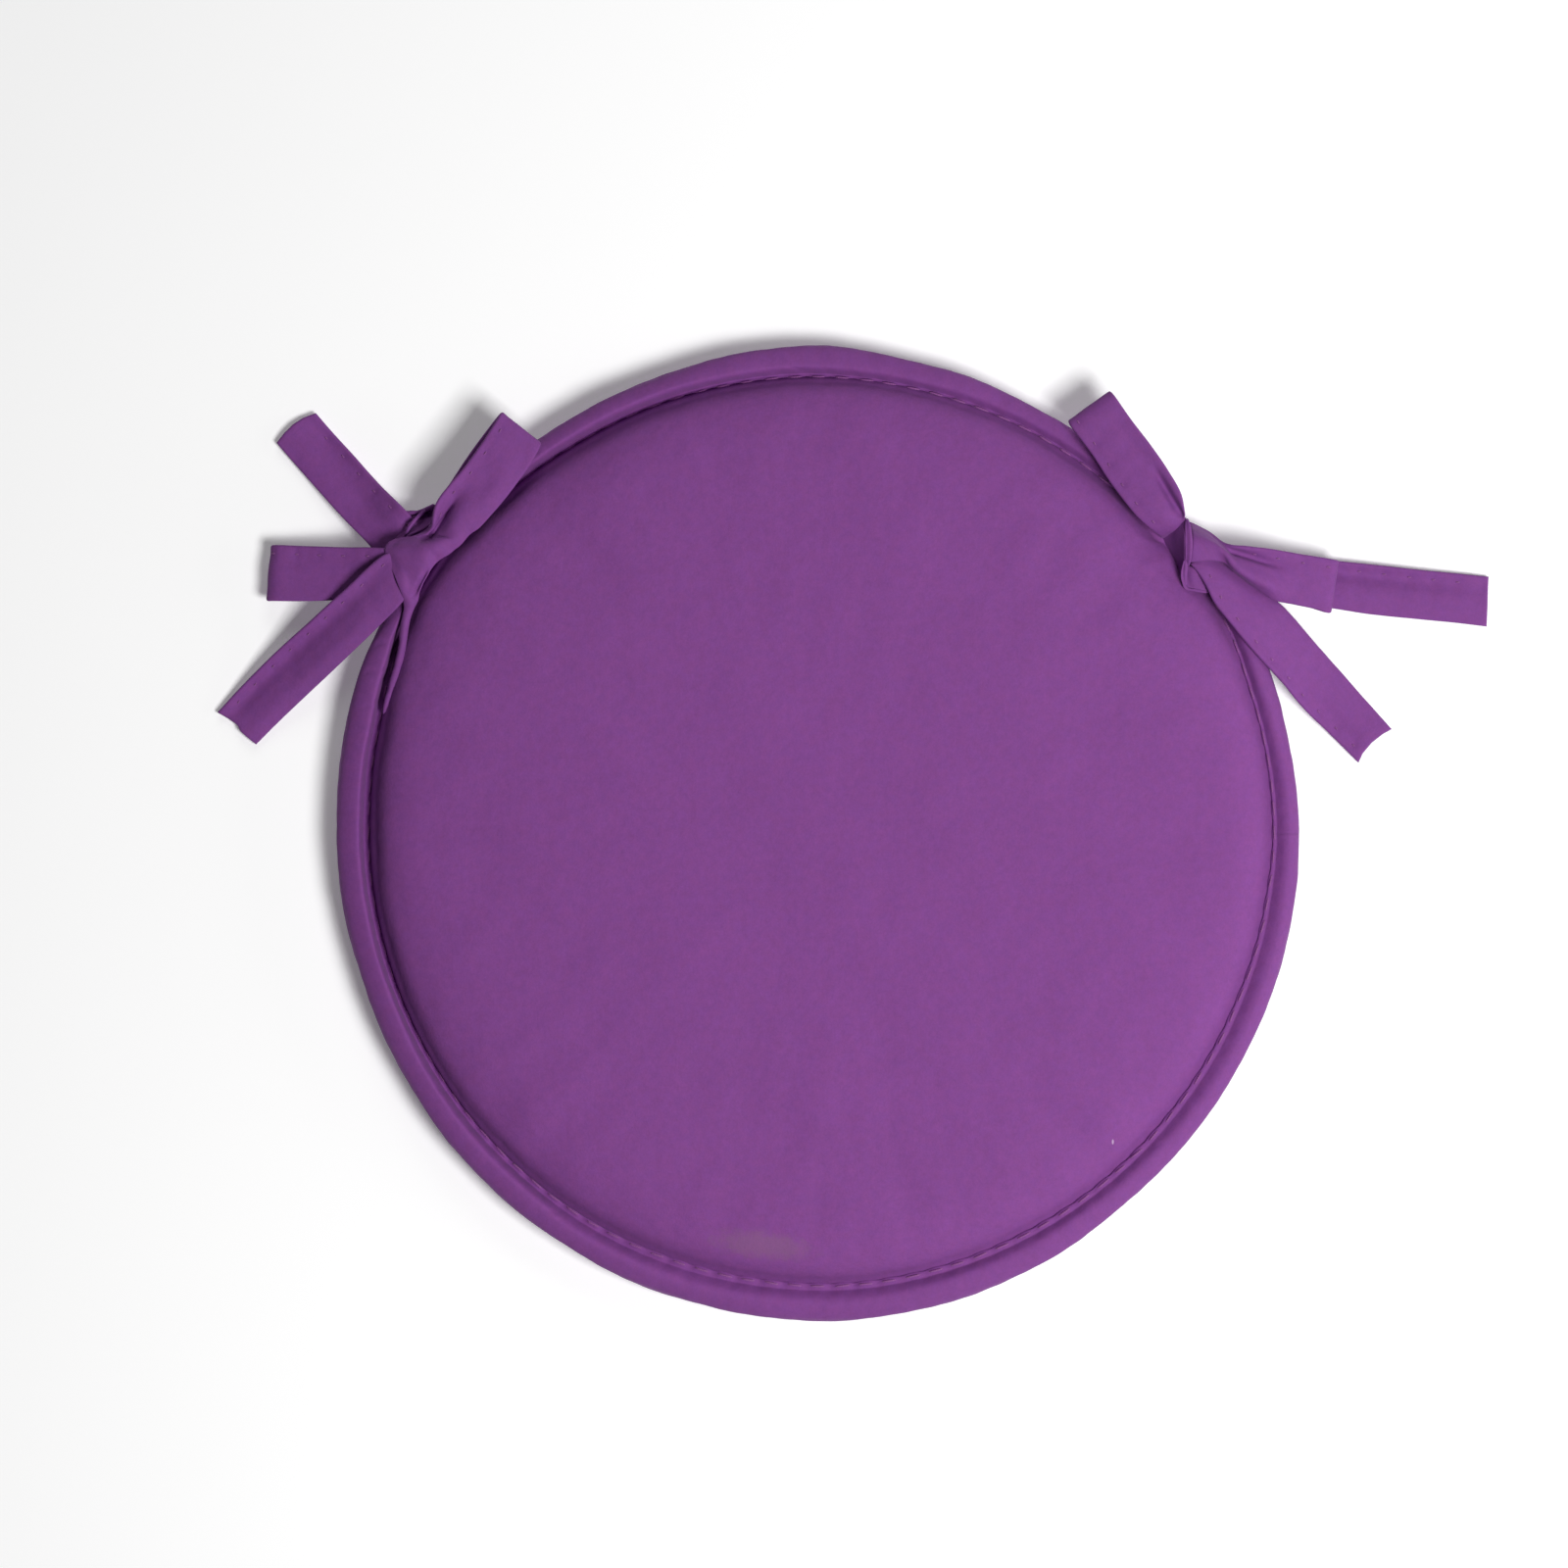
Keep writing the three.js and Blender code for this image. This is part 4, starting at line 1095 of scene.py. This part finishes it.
RIGHT_BANDS = {
    "upper_loop": {"stitch": "a", "sewn from": 9, "rows": [
        (106.8, 91.8, 6, 114, 95.1, 8, 0, 0, 0),
        (105.4, 92.7, 15, 113.4, 96.8, 18.8, 0.3, 0.2, -0.1),
        (102.2, 94.9, 17.6, 113.1, 100.4, 20.5, 0.6, 0.6, -0.1),
        (98.5, 98, 18.9, 112, 105.2, 20.9, 0.6, 0.6, -0.2),
        (94.2, 103.1, 19.3, 108.1, 112.2, 20.5, 0.5, 0.3, -0.3),
        (89.7, 109.2, 19.2, 102.7, 120.1, 20, 0.3, 0, -0.6),
        (84.6, 117.1, 18.6, 96.7, 128, 19.2, 0.2, 0.3, 0),
        (78.1, 125.8, 17.8, 91.7, 135.3, 18.2, 0.2, 0.3, 0.2),
        (77.4, 127.2, 16.4, 90.7, 136.6, 16.7, 0, 0.1, 0),
        (78.3, 126.1, 15, 91.7, 135.5, 15.1, 0, 0, 0),
        (85.3, 116.4, 14.8, 96.9, 127, 14.8, 0, 0, 0),
        (90.8, 108.8, 14.8, 102.7, 119.1, 14.8, 0, 0, 0),
        (97.2, 100.3, 14.6, 109, 109.4, 15, 0, 0, 0),
        (103.4, 94.9, 12.6, 111.8, 99.7, 13.6, 0, 0, 0),
        (106.5, 92.4, 5.6, 113.7, 95.4, 7.6, 0, 0, 0),
    ]},
    "outer_loop": {"stitch": "a", "sewn from": 20, "rows": [
        (115, 96.7, 5.5, 115, 83.8, 17.2, 2.2, 4.2, 4.5),
        (118.1, 95.2, 5.8, 117.7, 84, 17.1, 2.1, 4, 4.4),
        (121.6, 93.2, 8.4, 121.7, 84.3, 16.6, 1.4, 2.9, 3.8),
        (125.3, 90.5, 12.4, 125.7, 83.7, 15.6, 0.5, 1.8, 3.4),
        (128.5, 89.3, 15.2, 129.4, 80.9, 13.9, -0.5, 1.3, 3.6),
        (132.7, 89, 15.4, 133.9, 77.6, 11.6, -0.9, 1.5, 4.1),
        (137.6, 88.5, 14.4, 138.5, 74.4, 11, -1, 1.1, 3.2),
        (142.3, 87.9, 12.9, 142.1, 72.1, 10.9, -0.9, 0.8, 2),
        (149.4, 86.7, 10.9, 148.2, 70.8, 10.9, -0.1, 0.1, 0.2),
        (156.8, 85.6, 9.4, 155, 69.4, 9.4, 0.2, 0.3, 0.2),
        (160.3, 85, 8.5, 157.8, 68.5, 8.5, 0.1, 0.2, 0.1),
        (161.3, 84.9, 7, 158.9, 68.4, 7, 0, 0, 0),
        (160.2, 85.1, 5.8, 157.7, 68.6, 5.8, 0, 0, 0),
        (150.9, 85.9, 7.4, 149.7, 71.3, 7.2, 0, 0, 0),
        (140.1, 87.1, 9.6, 138.7, 76.5, 7.8, 0, 0, 0),
        (130, 88, 10, 128.9, 83.8, 8.4, 0, 0, 0),
        (120.4, 90.5, 7.6, 120.3, 86.5, 8.6, 0, 0, 0),
    ]},
    "long_end": {"stitch": "a", "rows": [
        (115.6, 91.8, 6, 115.5, 84.4, 8, 0, 0, 0),
        (122.9, 89, 6.2, 122.2, 83.5, 7.6, 0, 0, 0),
        (131.1, 87.2, 6.4, 130.2, 79.3, 6.8, 0, 0, 0),
        (141.9, 86, 5.8, 141.2, 73.2, 6.2, -0.2, 0.1, 0.1),
        (151.1, 85.1, 4, 149.9, 71.1, 4.2, -0.3, 0.1, 0.2),
        (161.6, 84.7, 3.4, 161, 69.8, 2.8, -1.4, 0.2, 0.6),
        (172.6, 83.6, 3, 171.4, 68.2, 2.2, -1.5, 0.3, 0.6),
        (187.9, 82, 2.4, 186.8, 66.6, 1.8, -0.9, 0.3, 0.5),
        (200.2, 80.8, 1.9, 199.3, 65.4, 1.5, -0.6, 0.3, 0.4),
        (209.1, 79.9, 1.4, 208.5, 64.3, 1.2, -0.3, 0.2, 0.2),
    ]},
    "lower_end": {"stitch": "b", "end": HOLLOW_END, "rows": [
        (119.9, 86.6, 15.6, 115, 83.5, 16, 0, 0.1, 0.1),
        (124.7, 84.3, 11.8, 117.7, 80.2, 16.8, 0.8, 1.1, 0.9),
        (130, 81, 10.4, 120.1, 76.2, 17.2, 1, 1.5, 1),
        (135.5, 77, 9.6, 122.3, 71.7, 17.2, 0.9, 1.4, 0.9),
        (141, 73.1, 9, 127.8, 64.7, 16.4, 0.7, 1, 0.4),
        (145.4, 69.3, 8.2, 134.2, 57.1, 15.2, 0.5, 0.5, -0.2),
        (153.2, 60.8, 5.2, 142.4, 48.4, 11.6, 0.4, 0.3, -0.5),
        (161.7, 51.5, 2.4, 150.4, 39.3, 5.6, 0.4, 0.3, -0.5),
        (170.3, 41.9, 1.3, 159.5, 30.7, 2.1, 0.3, 0.3, -0.4),
        (178.9, 32.3, 1, 168.5, 21.8, 1, 0.2, 0.3, 0.1),
    ]},
    "ridge": {"thick": 0.7, "rows": [
        (113.6, 97.4, 18.4, 114.3, 97.1, 18, 0.2, -0.1, 0.2),
        (113.5, 94.9, 20.4, 114.9, 94.7, 19, 0.2, -0.8, 0.4),
        (113.5, 91.3, 21, 115.2, 91, 19.2, 0.2, -1.1, 0.5),
        (113.5, 87.6, 21, 115.2, 87.4, 19.3, 0.2, -1.1, 0.5),
        (113.6, 84.9, 20.2, 115.1, 84.7, 18.8, 0.2, -0.9, 0.4),
        (113.7, 82.9, 18.6, 114.8, 82.7, 17.6, 0.1, -0.2, 0.2),
    ]},
    "ridge_foot": {"thick": 0.6, "rows": [
        (113, 84.3, 19.8, 113.5, 84.1, 19.2, 0.1, 0.1, 0.1),
        (112.5, 82.2, 18.8, 113.2, 82, 18.2, 0.1, 0.2, 0.1),
        (112.2, 79.7, 18, 113, 79.6, 17.4, 0.1, 0.2, 0.1),
        (112.7, 77.4, 17.2, 113.4, 77.6, 16.6, 0.1, 0.2, 0.1),
        (113.6, 75.6, 16.4, 114.3, 76.1, 16.2, 0.1, 0.2, 0.1),
        (116.9, 74.8, 16.2, 117.1, 75.5, 16.4, 0.1, 0.2, 0.1),
        (120.2, 74.3, 15.6, 120.5, 74.9, 15.6, 0.1, 0.1, 0.1),
    ]},
}

# Folds of the knots
LEFT_FOLDS = {
    "gathers": [
        (-133.6, 87.7, 11.0, -128.9, 88.8, 13.4, -124.9, 90, 14.4, -121.3, 90.6, 14.4, -117.7, 90.9, 13.6),
        (-132.8, 90.8, 8.4, -128.8, 92.2, 10.4, -125.4, 93.4, 10.8, -122.1, 94.7, 10.0, -117.9, 95.6, 9.0),
        (-131.7, 94.2, 6.8, -128.3, 95.4, 7.6, -125.3, 96.9, 7.0, -122.3, 98.2, 5.6, -118.4, 98.9, 4.6),
        (-130.2, 97.3, 6.4, -127.5, 98.2, 6.4, -124.8, 99.3, 5.4, -122.1, 100.4, 4.6, -118.7, 101.3, 4.2),
        (-128.9, 100.2, 8.2, -126.4, 99.9, 9.6, -124, 99.8, 9.4, -121.8, 100.7, 9.0, -119.4, 102.2, 8.6),
    ],
}

RIGHT_FOLDS = {
    "flank": [
        (105.4, 93.8, 9.6, 107.7, 95.2, 12.2, 109.7, 96.4, 14.6, 111.7, 97, 16.2, 113.8, 97.8, 17.2),
        (106.1, 90.8, 7.2, 108, 91.3, 10.6, 110, 91.8, 13.8, 111.9, 92, 17.2, 113.9, 92.2, 20.6),
        (107.9, 87.5, 7.2, 109.4, 87.7, 10.2, 110.9, 87.9, 13.4, 112.5, 88.1, 17.2, 113.9, 88.2, 20.8),
        (110, 83.5, 7.8, 111.1, 83.7, 10.6, 112, 83.6, 13.4, 112.9, 83.8, 16.4, 113.9, 84, 19.6),
        (111.8, 79.8, 9.0, 112.3, 79.7, 11.2, 112.8, 79.7, 13.4, 113.1, 79.8, 15.2, 113.7, 79.8, 17.8),
        (113, 76.7, 11.4, 113.2, 76.7, 12.6, 113.4, 76.6, 13.8, 113.5, 76.6, 14.8, 114, 76.6, 15.8),
    ],
    "flap": [
        (113.6, 83.6, 15.0, 114.8, 83, 15.2, 116.3, 82.3, 15.6, 117.8, 81.4, 15.4, 119.7, 80.2, 14.6),
        (113.3, 80.9, 14.6, 114.5, 80.2, 14.9, 116, 79.6, 15.5, 118, 79, 15.2, 120.3, 78.1, 14.6),
        (113.4, 78.1, 14.6, 114.8, 77.7, 14.9, 116.6, 77.2, 15.5, 118.7, 76.6, 15.2, 120.9, 76, 14.6),
        (113.9, 75.8, 15.0, 115.2, 75.5, 15.2, 117.2, 75.2, 15.4, 119, 74.8, 15.1, 120.9, 74.3, 14.6),
    ],
}

# Creases of the bows, seen from above: x, y of each end, depth, half width
LEFT_CREASES = [
    (-120, 92.3, -112.6, 102.9, 1.7, 0.8),
    (-119.6, 91.5, -124.1, 90.2, 0.9, 1.1),
    (-121.1, 81.4, -126.1, 72.3, 1.1, 0.8),
    (-117.7, 85, -122, 89.2, 0.3, 0.9),
]

RIGHT_CREASES = [
    (128, 87.4, 143.7, 82.6, 1.8, 1.1),
    (112.5, 97.4, 103.7, 112.9, 2.5, 1.15),
]


def five_points(rows):
    """Rows of fifteen numbers as rows of five points."""
    return np.reshape(rows, (-1, NET_POINTS, 3)).astype(float)


def band_net(rows, knot=()):
    """Five points across each row of a band: on the line from a to b, lifted along side x run."""
    rows = np.array(rows, float)
    a, b = rows[:, :3], rows[:, 3:6]
    up = unit(np.cross(b - a, np.gradient((a + b) / 2, axis=0)))
    shares = np.linspace(0, 1, NET_POINTS)
    lifts = np.zeros((len(rows), NET_POINTS))
    lifts[:, 1:-1] = rows[:, 6:]
    net = a[:, None] + (b - a)[:, None] * shares[:, None] + up[:, None] * lifts[..., None]
    return np.concatenate([five_points(knot), net])


def band_surface(net):
    """The net's smooth surface, its rows evenly spaced along it and its columns closer by the edges.

    Returns the points, the distance along of each row, the distance across of each point, and the
    share of the net's width at each column.
    """
    last = len(net) - 1
    t = np.linspace(0, last, last * NET_STEPS + 1)
    run = distance_along(curve_through(net[:, NET_POINTS // 2], t))
    rows = max(int(run[-1] / BAND_SPACING), LEAST_ROWS) + 1
    inner = np.linspace(0, run[-1], rows)[1:-1]
    along = np.unique(np.concatenate([END_ROWS, inner, run[-1] - END_ROWS]))
    even = np.interp(along, run, t)
    lines = np.stack([curve_through(net[:, k], even) for k in range(NET_POINTS)], axis=1)
    k = np.linspace(0, 1, BAND_COLUMNS)
    share = EDGE_CROWDING[0] * (0.5 - 0.5 * np.cos(np.pi * k)) + EDGE_CROWDING[1] * k
    points = np.einsum("us,msc->muc", spline_weights(NET_POINTS, share * (NET_POINTS - 1)), lines)
    step = np.linalg.norm(np.diff(points, axis=1), axis=-1)
    across = np.concatenate([np.zeros((len(points), 1)), np.cumsum(step, axis=1)], axis=1)
    return points, along, across, share


def band_relief(along, across, stitch_across, seed):
    """How far the doubled cloth stands off its middle surface.

    It is slack in slow waves. A stitched edge has a groove along its stitches, a bell, with a
    deeper dent at each stitch.
    """
    along = along[:, None] + 0 * across
    layers = [(height, length, seed + k) for k, (height, length) in enumerate(BAND_WAVES)]
    relief = layered_waves(along, across, layers)
    if stitch_across is not None:
        off = across - stitch_across[:, None]
        at_stitch = (0.5 + 0.5 * np.cos(2 * np.pi * along / TIE_STITCH_PITCH)) ** 4
        groove, groove_width = SEWN_GROOVE
        dent, dent_width = SEWN_DENT
        relief = relief - groove * bell(off, groove_width) - dent * at_stitch * bell(off, dent_width)
    return relief


def rounded(distance):
    """Share of the full thickness at a distance from an edge: a quarter circle, then 1."""
    return np.sqrt(np.maximum(1 - (1 - np.minimum(distance / EDGE_ROUND, 1)) ** 2, 0))


def cloth_band(net, seed, creases=(), stitch=None, end=PLAIN_END, thick=TIE_THICK):
    """One band as a closed part, and the surface that its stitches lie on.

    Top and bottom are the middle surface plus and minus half the thickness along its normal, which
    falls to nothing at the rim as a quarter circle.
    """
    points, along, across, share = band_surface(net)
    length, width = along[-1], across[:, -1]
    reach = np.interp(share, *np.array(end, float).T)
    forward = unit(np.gradient(points, axis=0))
    at_end = ease((along - length + END_REACH) / END_REACH)
    points = points + forward * reach[None, :, None] * at_end[:, None, None]
    normal = unit(np.cross(np.gradient(points, axis=1), forward))
    inset = np.minimum(STITCH_INSET, width * SLIM_INSET)
    stitch_across = {"a": inset, "b": width - inset}.get(stitch)
    relief = band_relief(along, across, stitch_across, seed)
    relief = relief - crease_depth(points[..., 0], points[..., 1], creases)
    points = points + normal * np.where(normal[..., 2] > 0, relief, UNDER_RELIEF * relief)[..., None]
    edge = np.minimum(across, width[:, None] - across)
    tip = np.minimum(along, length - along)[:, None]
    half = thick / 2 * rounded(edge) * rounded(tip)
    cloth = np.stack([along[:, None] + 0 * across, across + seed * NEXT_BAND], axis=-1)
    top, bottom = points + normal * half[..., None], points - normal * half[..., None]
    top[..., 2] = np.maximum(top[..., 2], TOP_CLEARANCE)
    bottom[..., 2] = np.maximum(bottom[..., 2], UNDER_CLEARANCE)
    return pillow(top, bottom, cloth), (top, normal, along, across, stitch_across)


def band_stitches(surface, seed, first):
    """Paths of a band's stitches on its top, from a place along it: each bows out of its two holes."""
    top, normal, along, across, stitch_across = surface
    draw = np.random.default_rng(seed)
    middle = np.arange(TIE_STITCH_PITCH, along[-1] - BARE_END, TIE_STITCH_PITCH)
    middle = middle[middle > first]
    s = np.linspace(-1, 1, STITCH_RINGS)
    shift = draw.normal(0, TIE_STITCH_SHIFT, (len(middle), 1))
    place = middle[:, None] + s * TIE_STITCH_LENGTH / 2 + shift
    row = np.interp(place.ravel(), along, np.arange(len(along)))
    low = np.clip(row.astype(int), 0, len(along) - 2)
    share = row - low
    wanted = np.interp(place.ravel(), along, stitch_across)

    def read(values):
        """Values at the stitches' points: even shares between two rows and between two columns."""
        found = []
        for line in (low, low + 1):
            columns = np.arange(across.shape[1])
            column = np.array([np.interp(w, x, columns) for w, x in zip(wanted, across[line])])
            left = np.clip(column.astype(int), 0, len(columns) - 2)
            part = (column - left)[:, None]
            found.append(values[line, left] * (1 - part) + values[line, left + 1] * part)
        return (found[0] * (1 - share[:, None]) + found[1] * share[:, None]).reshape(*place.shape, 3)

    up = unit(read(normal))
    rise = TIE_STITCH_BOW - TIE_STITCH_SINK * np.abs(s) ** 3
    return read(top) + up * rise[:, None], up


def make_tie(name, bands, folds, creases, seed, cloth, thread):
    """One tie, its bands and the folds of its knot in one piece, and its stitches in another."""
    parts, paths, ups = [], [], []
    for k, spec in enumerate(bands.values()):
        net = band_net(spec["rows"], spec.get("knot", ()))
        details = {key: spec[key] for key in ("stitch", "end", "thick") if key in spec}
        part, surface = cloth_band(net, seed + 3 * k, creases, **details)
        parts.append(part)
        if "stitch" in spec:
            path, up = band_stitches(surface, seed + k, spec.get("sewn from", 0))
            paths.append(path)
            ups.append(up)
    for k, rows in enumerate(folds.values()):
        parts.append(cloth_band(five_points(rows), seed + FOLD_SEED + 3 * k)[0])
    piece = make_piece(name, parts, cloth)
    sewing = thread_parts(np.vstack(paths), np.vstack(ups), TIE_THREAD)
    return piece, make_piece(name + "_stitches", [sewing], thread)


# Floor, light and camera

# In millimetres: how far the floor reaches and lies under the cushion, the camera's height, the
# width and middle of what the photo shows at the seam's height, and the camera's sensor
FLOOR_REACH = 12000.0
FLOOR_DEPTH = 0.3
CAMERA_HEIGHT = 2200.0
PHOTO_WIDTH = 487.4
PHOTO_MIDDLE = (-10.7, 15.2)
SENSOR = 36.0

# The floor's tone, the length in metres and height of its unevenness, its own faint glow, and the
# strength of the white surround
FLOOR_TONE = 0.93
FLOOR_BLOTCH = 1 / 3
FLOOR_UNEVEN = 0.02
FLOOR_GLOW = 0.16
SURROUND_STRENGTH = 0.03

# Square soft boxes that face the cushion: place and size in metres, watts
LIGHTS = {
    "key_light": ((0.62, -0.40, 1.31), 0.55, 22.5),
    "rear_fill": ((0.0, 1.24, 0.84), 0.7, 3.3),
    "side_fill": ((1.45, 0.0, 0.36), 0.7, 4.0),
}


def make_floor():
    """A plain pale floor that reaches far past every view."""
    paint = Paint("floor_white")
    tone = FLOOR_TONE + paint.noise(paint.object_place(), FLOOR_BLOTCH) * FLOOR_UNEVEN
    paint.feed(paint.shader, {
        "Base Color": paint.toned((1, 1, 1, 1), tone),
        "Roughness": 0.9,
        "Specular IOR Level": 0.1,
        "Emission Color": (1, 1, 1, 1),
        "Emission Strength": FLOOR_GLOW,
    })
    corners = np.array([(-1, -1), (1, -1), (1, 1), (-1, 1)]) * FLOOR_REACH
    points = np.column_stack([corners, [-FLOOR_DEPTH] * 4])
    link_mesh("floor", points, [(0, 1, 2, 3)], paint.material)


def make_light(name, place, size, watts):
    """A square soft box at a place, turned to the cushion's middle."""
    data = bpy.data.lights.new(name, "AREA")
    data.size = size
    data.energy = watts
    light = bpy.data.objects.new(name, data)
    light.location = place
    aim = Vector((0, 0, 0)) - Vector(place)
    light.rotation_euler = aim.to_track_quat("-Z", "Y").to_euler()
    bpy.context.scene.collection.objects.link(light)


def make_studio():
    """Lights, a dim white surround, and a camera that looks straight down from far off.

    The key light stands to the right of the lower edge, a fill behind the cushion and a low one on
    its right.
    """
    scene = bpy.context.scene
    world = bpy.data.worlds.new("surround")
    world.use_nodes = True
    background = world.node_tree.nodes["Background"]
    background.inputs["Color"].default_value = (1.0, 1.0, 1.0, 1.0)
    background.inputs["Strength"].default_value = SURROUND_STRENGTH
    scene.world = world
    scene.view_settings.view_transform = "Standard"
    for name, (place, size, watts) in LIGHTS.items():
        make_light(name, place, size, watts)
    camera = bpy.data.objects.new("camera", bpy.data.cameras.new("camera"))
    camera.data.sensor_width = SENSOR
    camera.data.lens = SENSOR * (CAMERA_HEIGHT - SEAM_HEIGHT) / PHOTO_WIDTH
    camera.location = Vector((*PHOTO_MIDDLE, CAMERA_HEIGHT)) * MM
    scene.collection.objects.link(camera)
    scene.camera = camera


# The whole cushion

make_studio()
make_floor()

panel_cloth = cloth_material("panel_cloth", PANEL_PURPLE, (stain, fleck))
binding_cloth = cloth_material("binding_cloth", BINDING_PURPLE)
tie_cloth = cloth_material("tie_cloth", TIE_PURPLE)
sewing_thread = thread_material()

pad = make_pad(panel_cloth)
binding = make_binding(binding_cloth)
binding_stitches = make_binding_stitches(sewing_thread)
left_tie, left_sewing = make_tie(
    "left_bow", LEFT_BANDS, LEFT_FOLDS, LEFT_CREASES, LEFT_SEED, tie_cloth, sewing_thread
)
right_tie, right_sewing = make_tie(
    "right_bow", RIGHT_BANDS, RIGHT_FOLDS, RIGHT_CREASES, RIGHT_SEED, tie_cloth, sewing_thread
)

for slot, pieces in {
    "panel_cloth": [pad],
    "binding_cloth": [binding, binding_stitches],
    "tie_cloth": [left_tie, left_sewing, right_tie, right_sewing],
}.items():
    for piece in pieces:
        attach(piece, "root")

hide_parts("pad")
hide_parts("edge_binding")
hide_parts("tie_left")
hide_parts("tie_right")
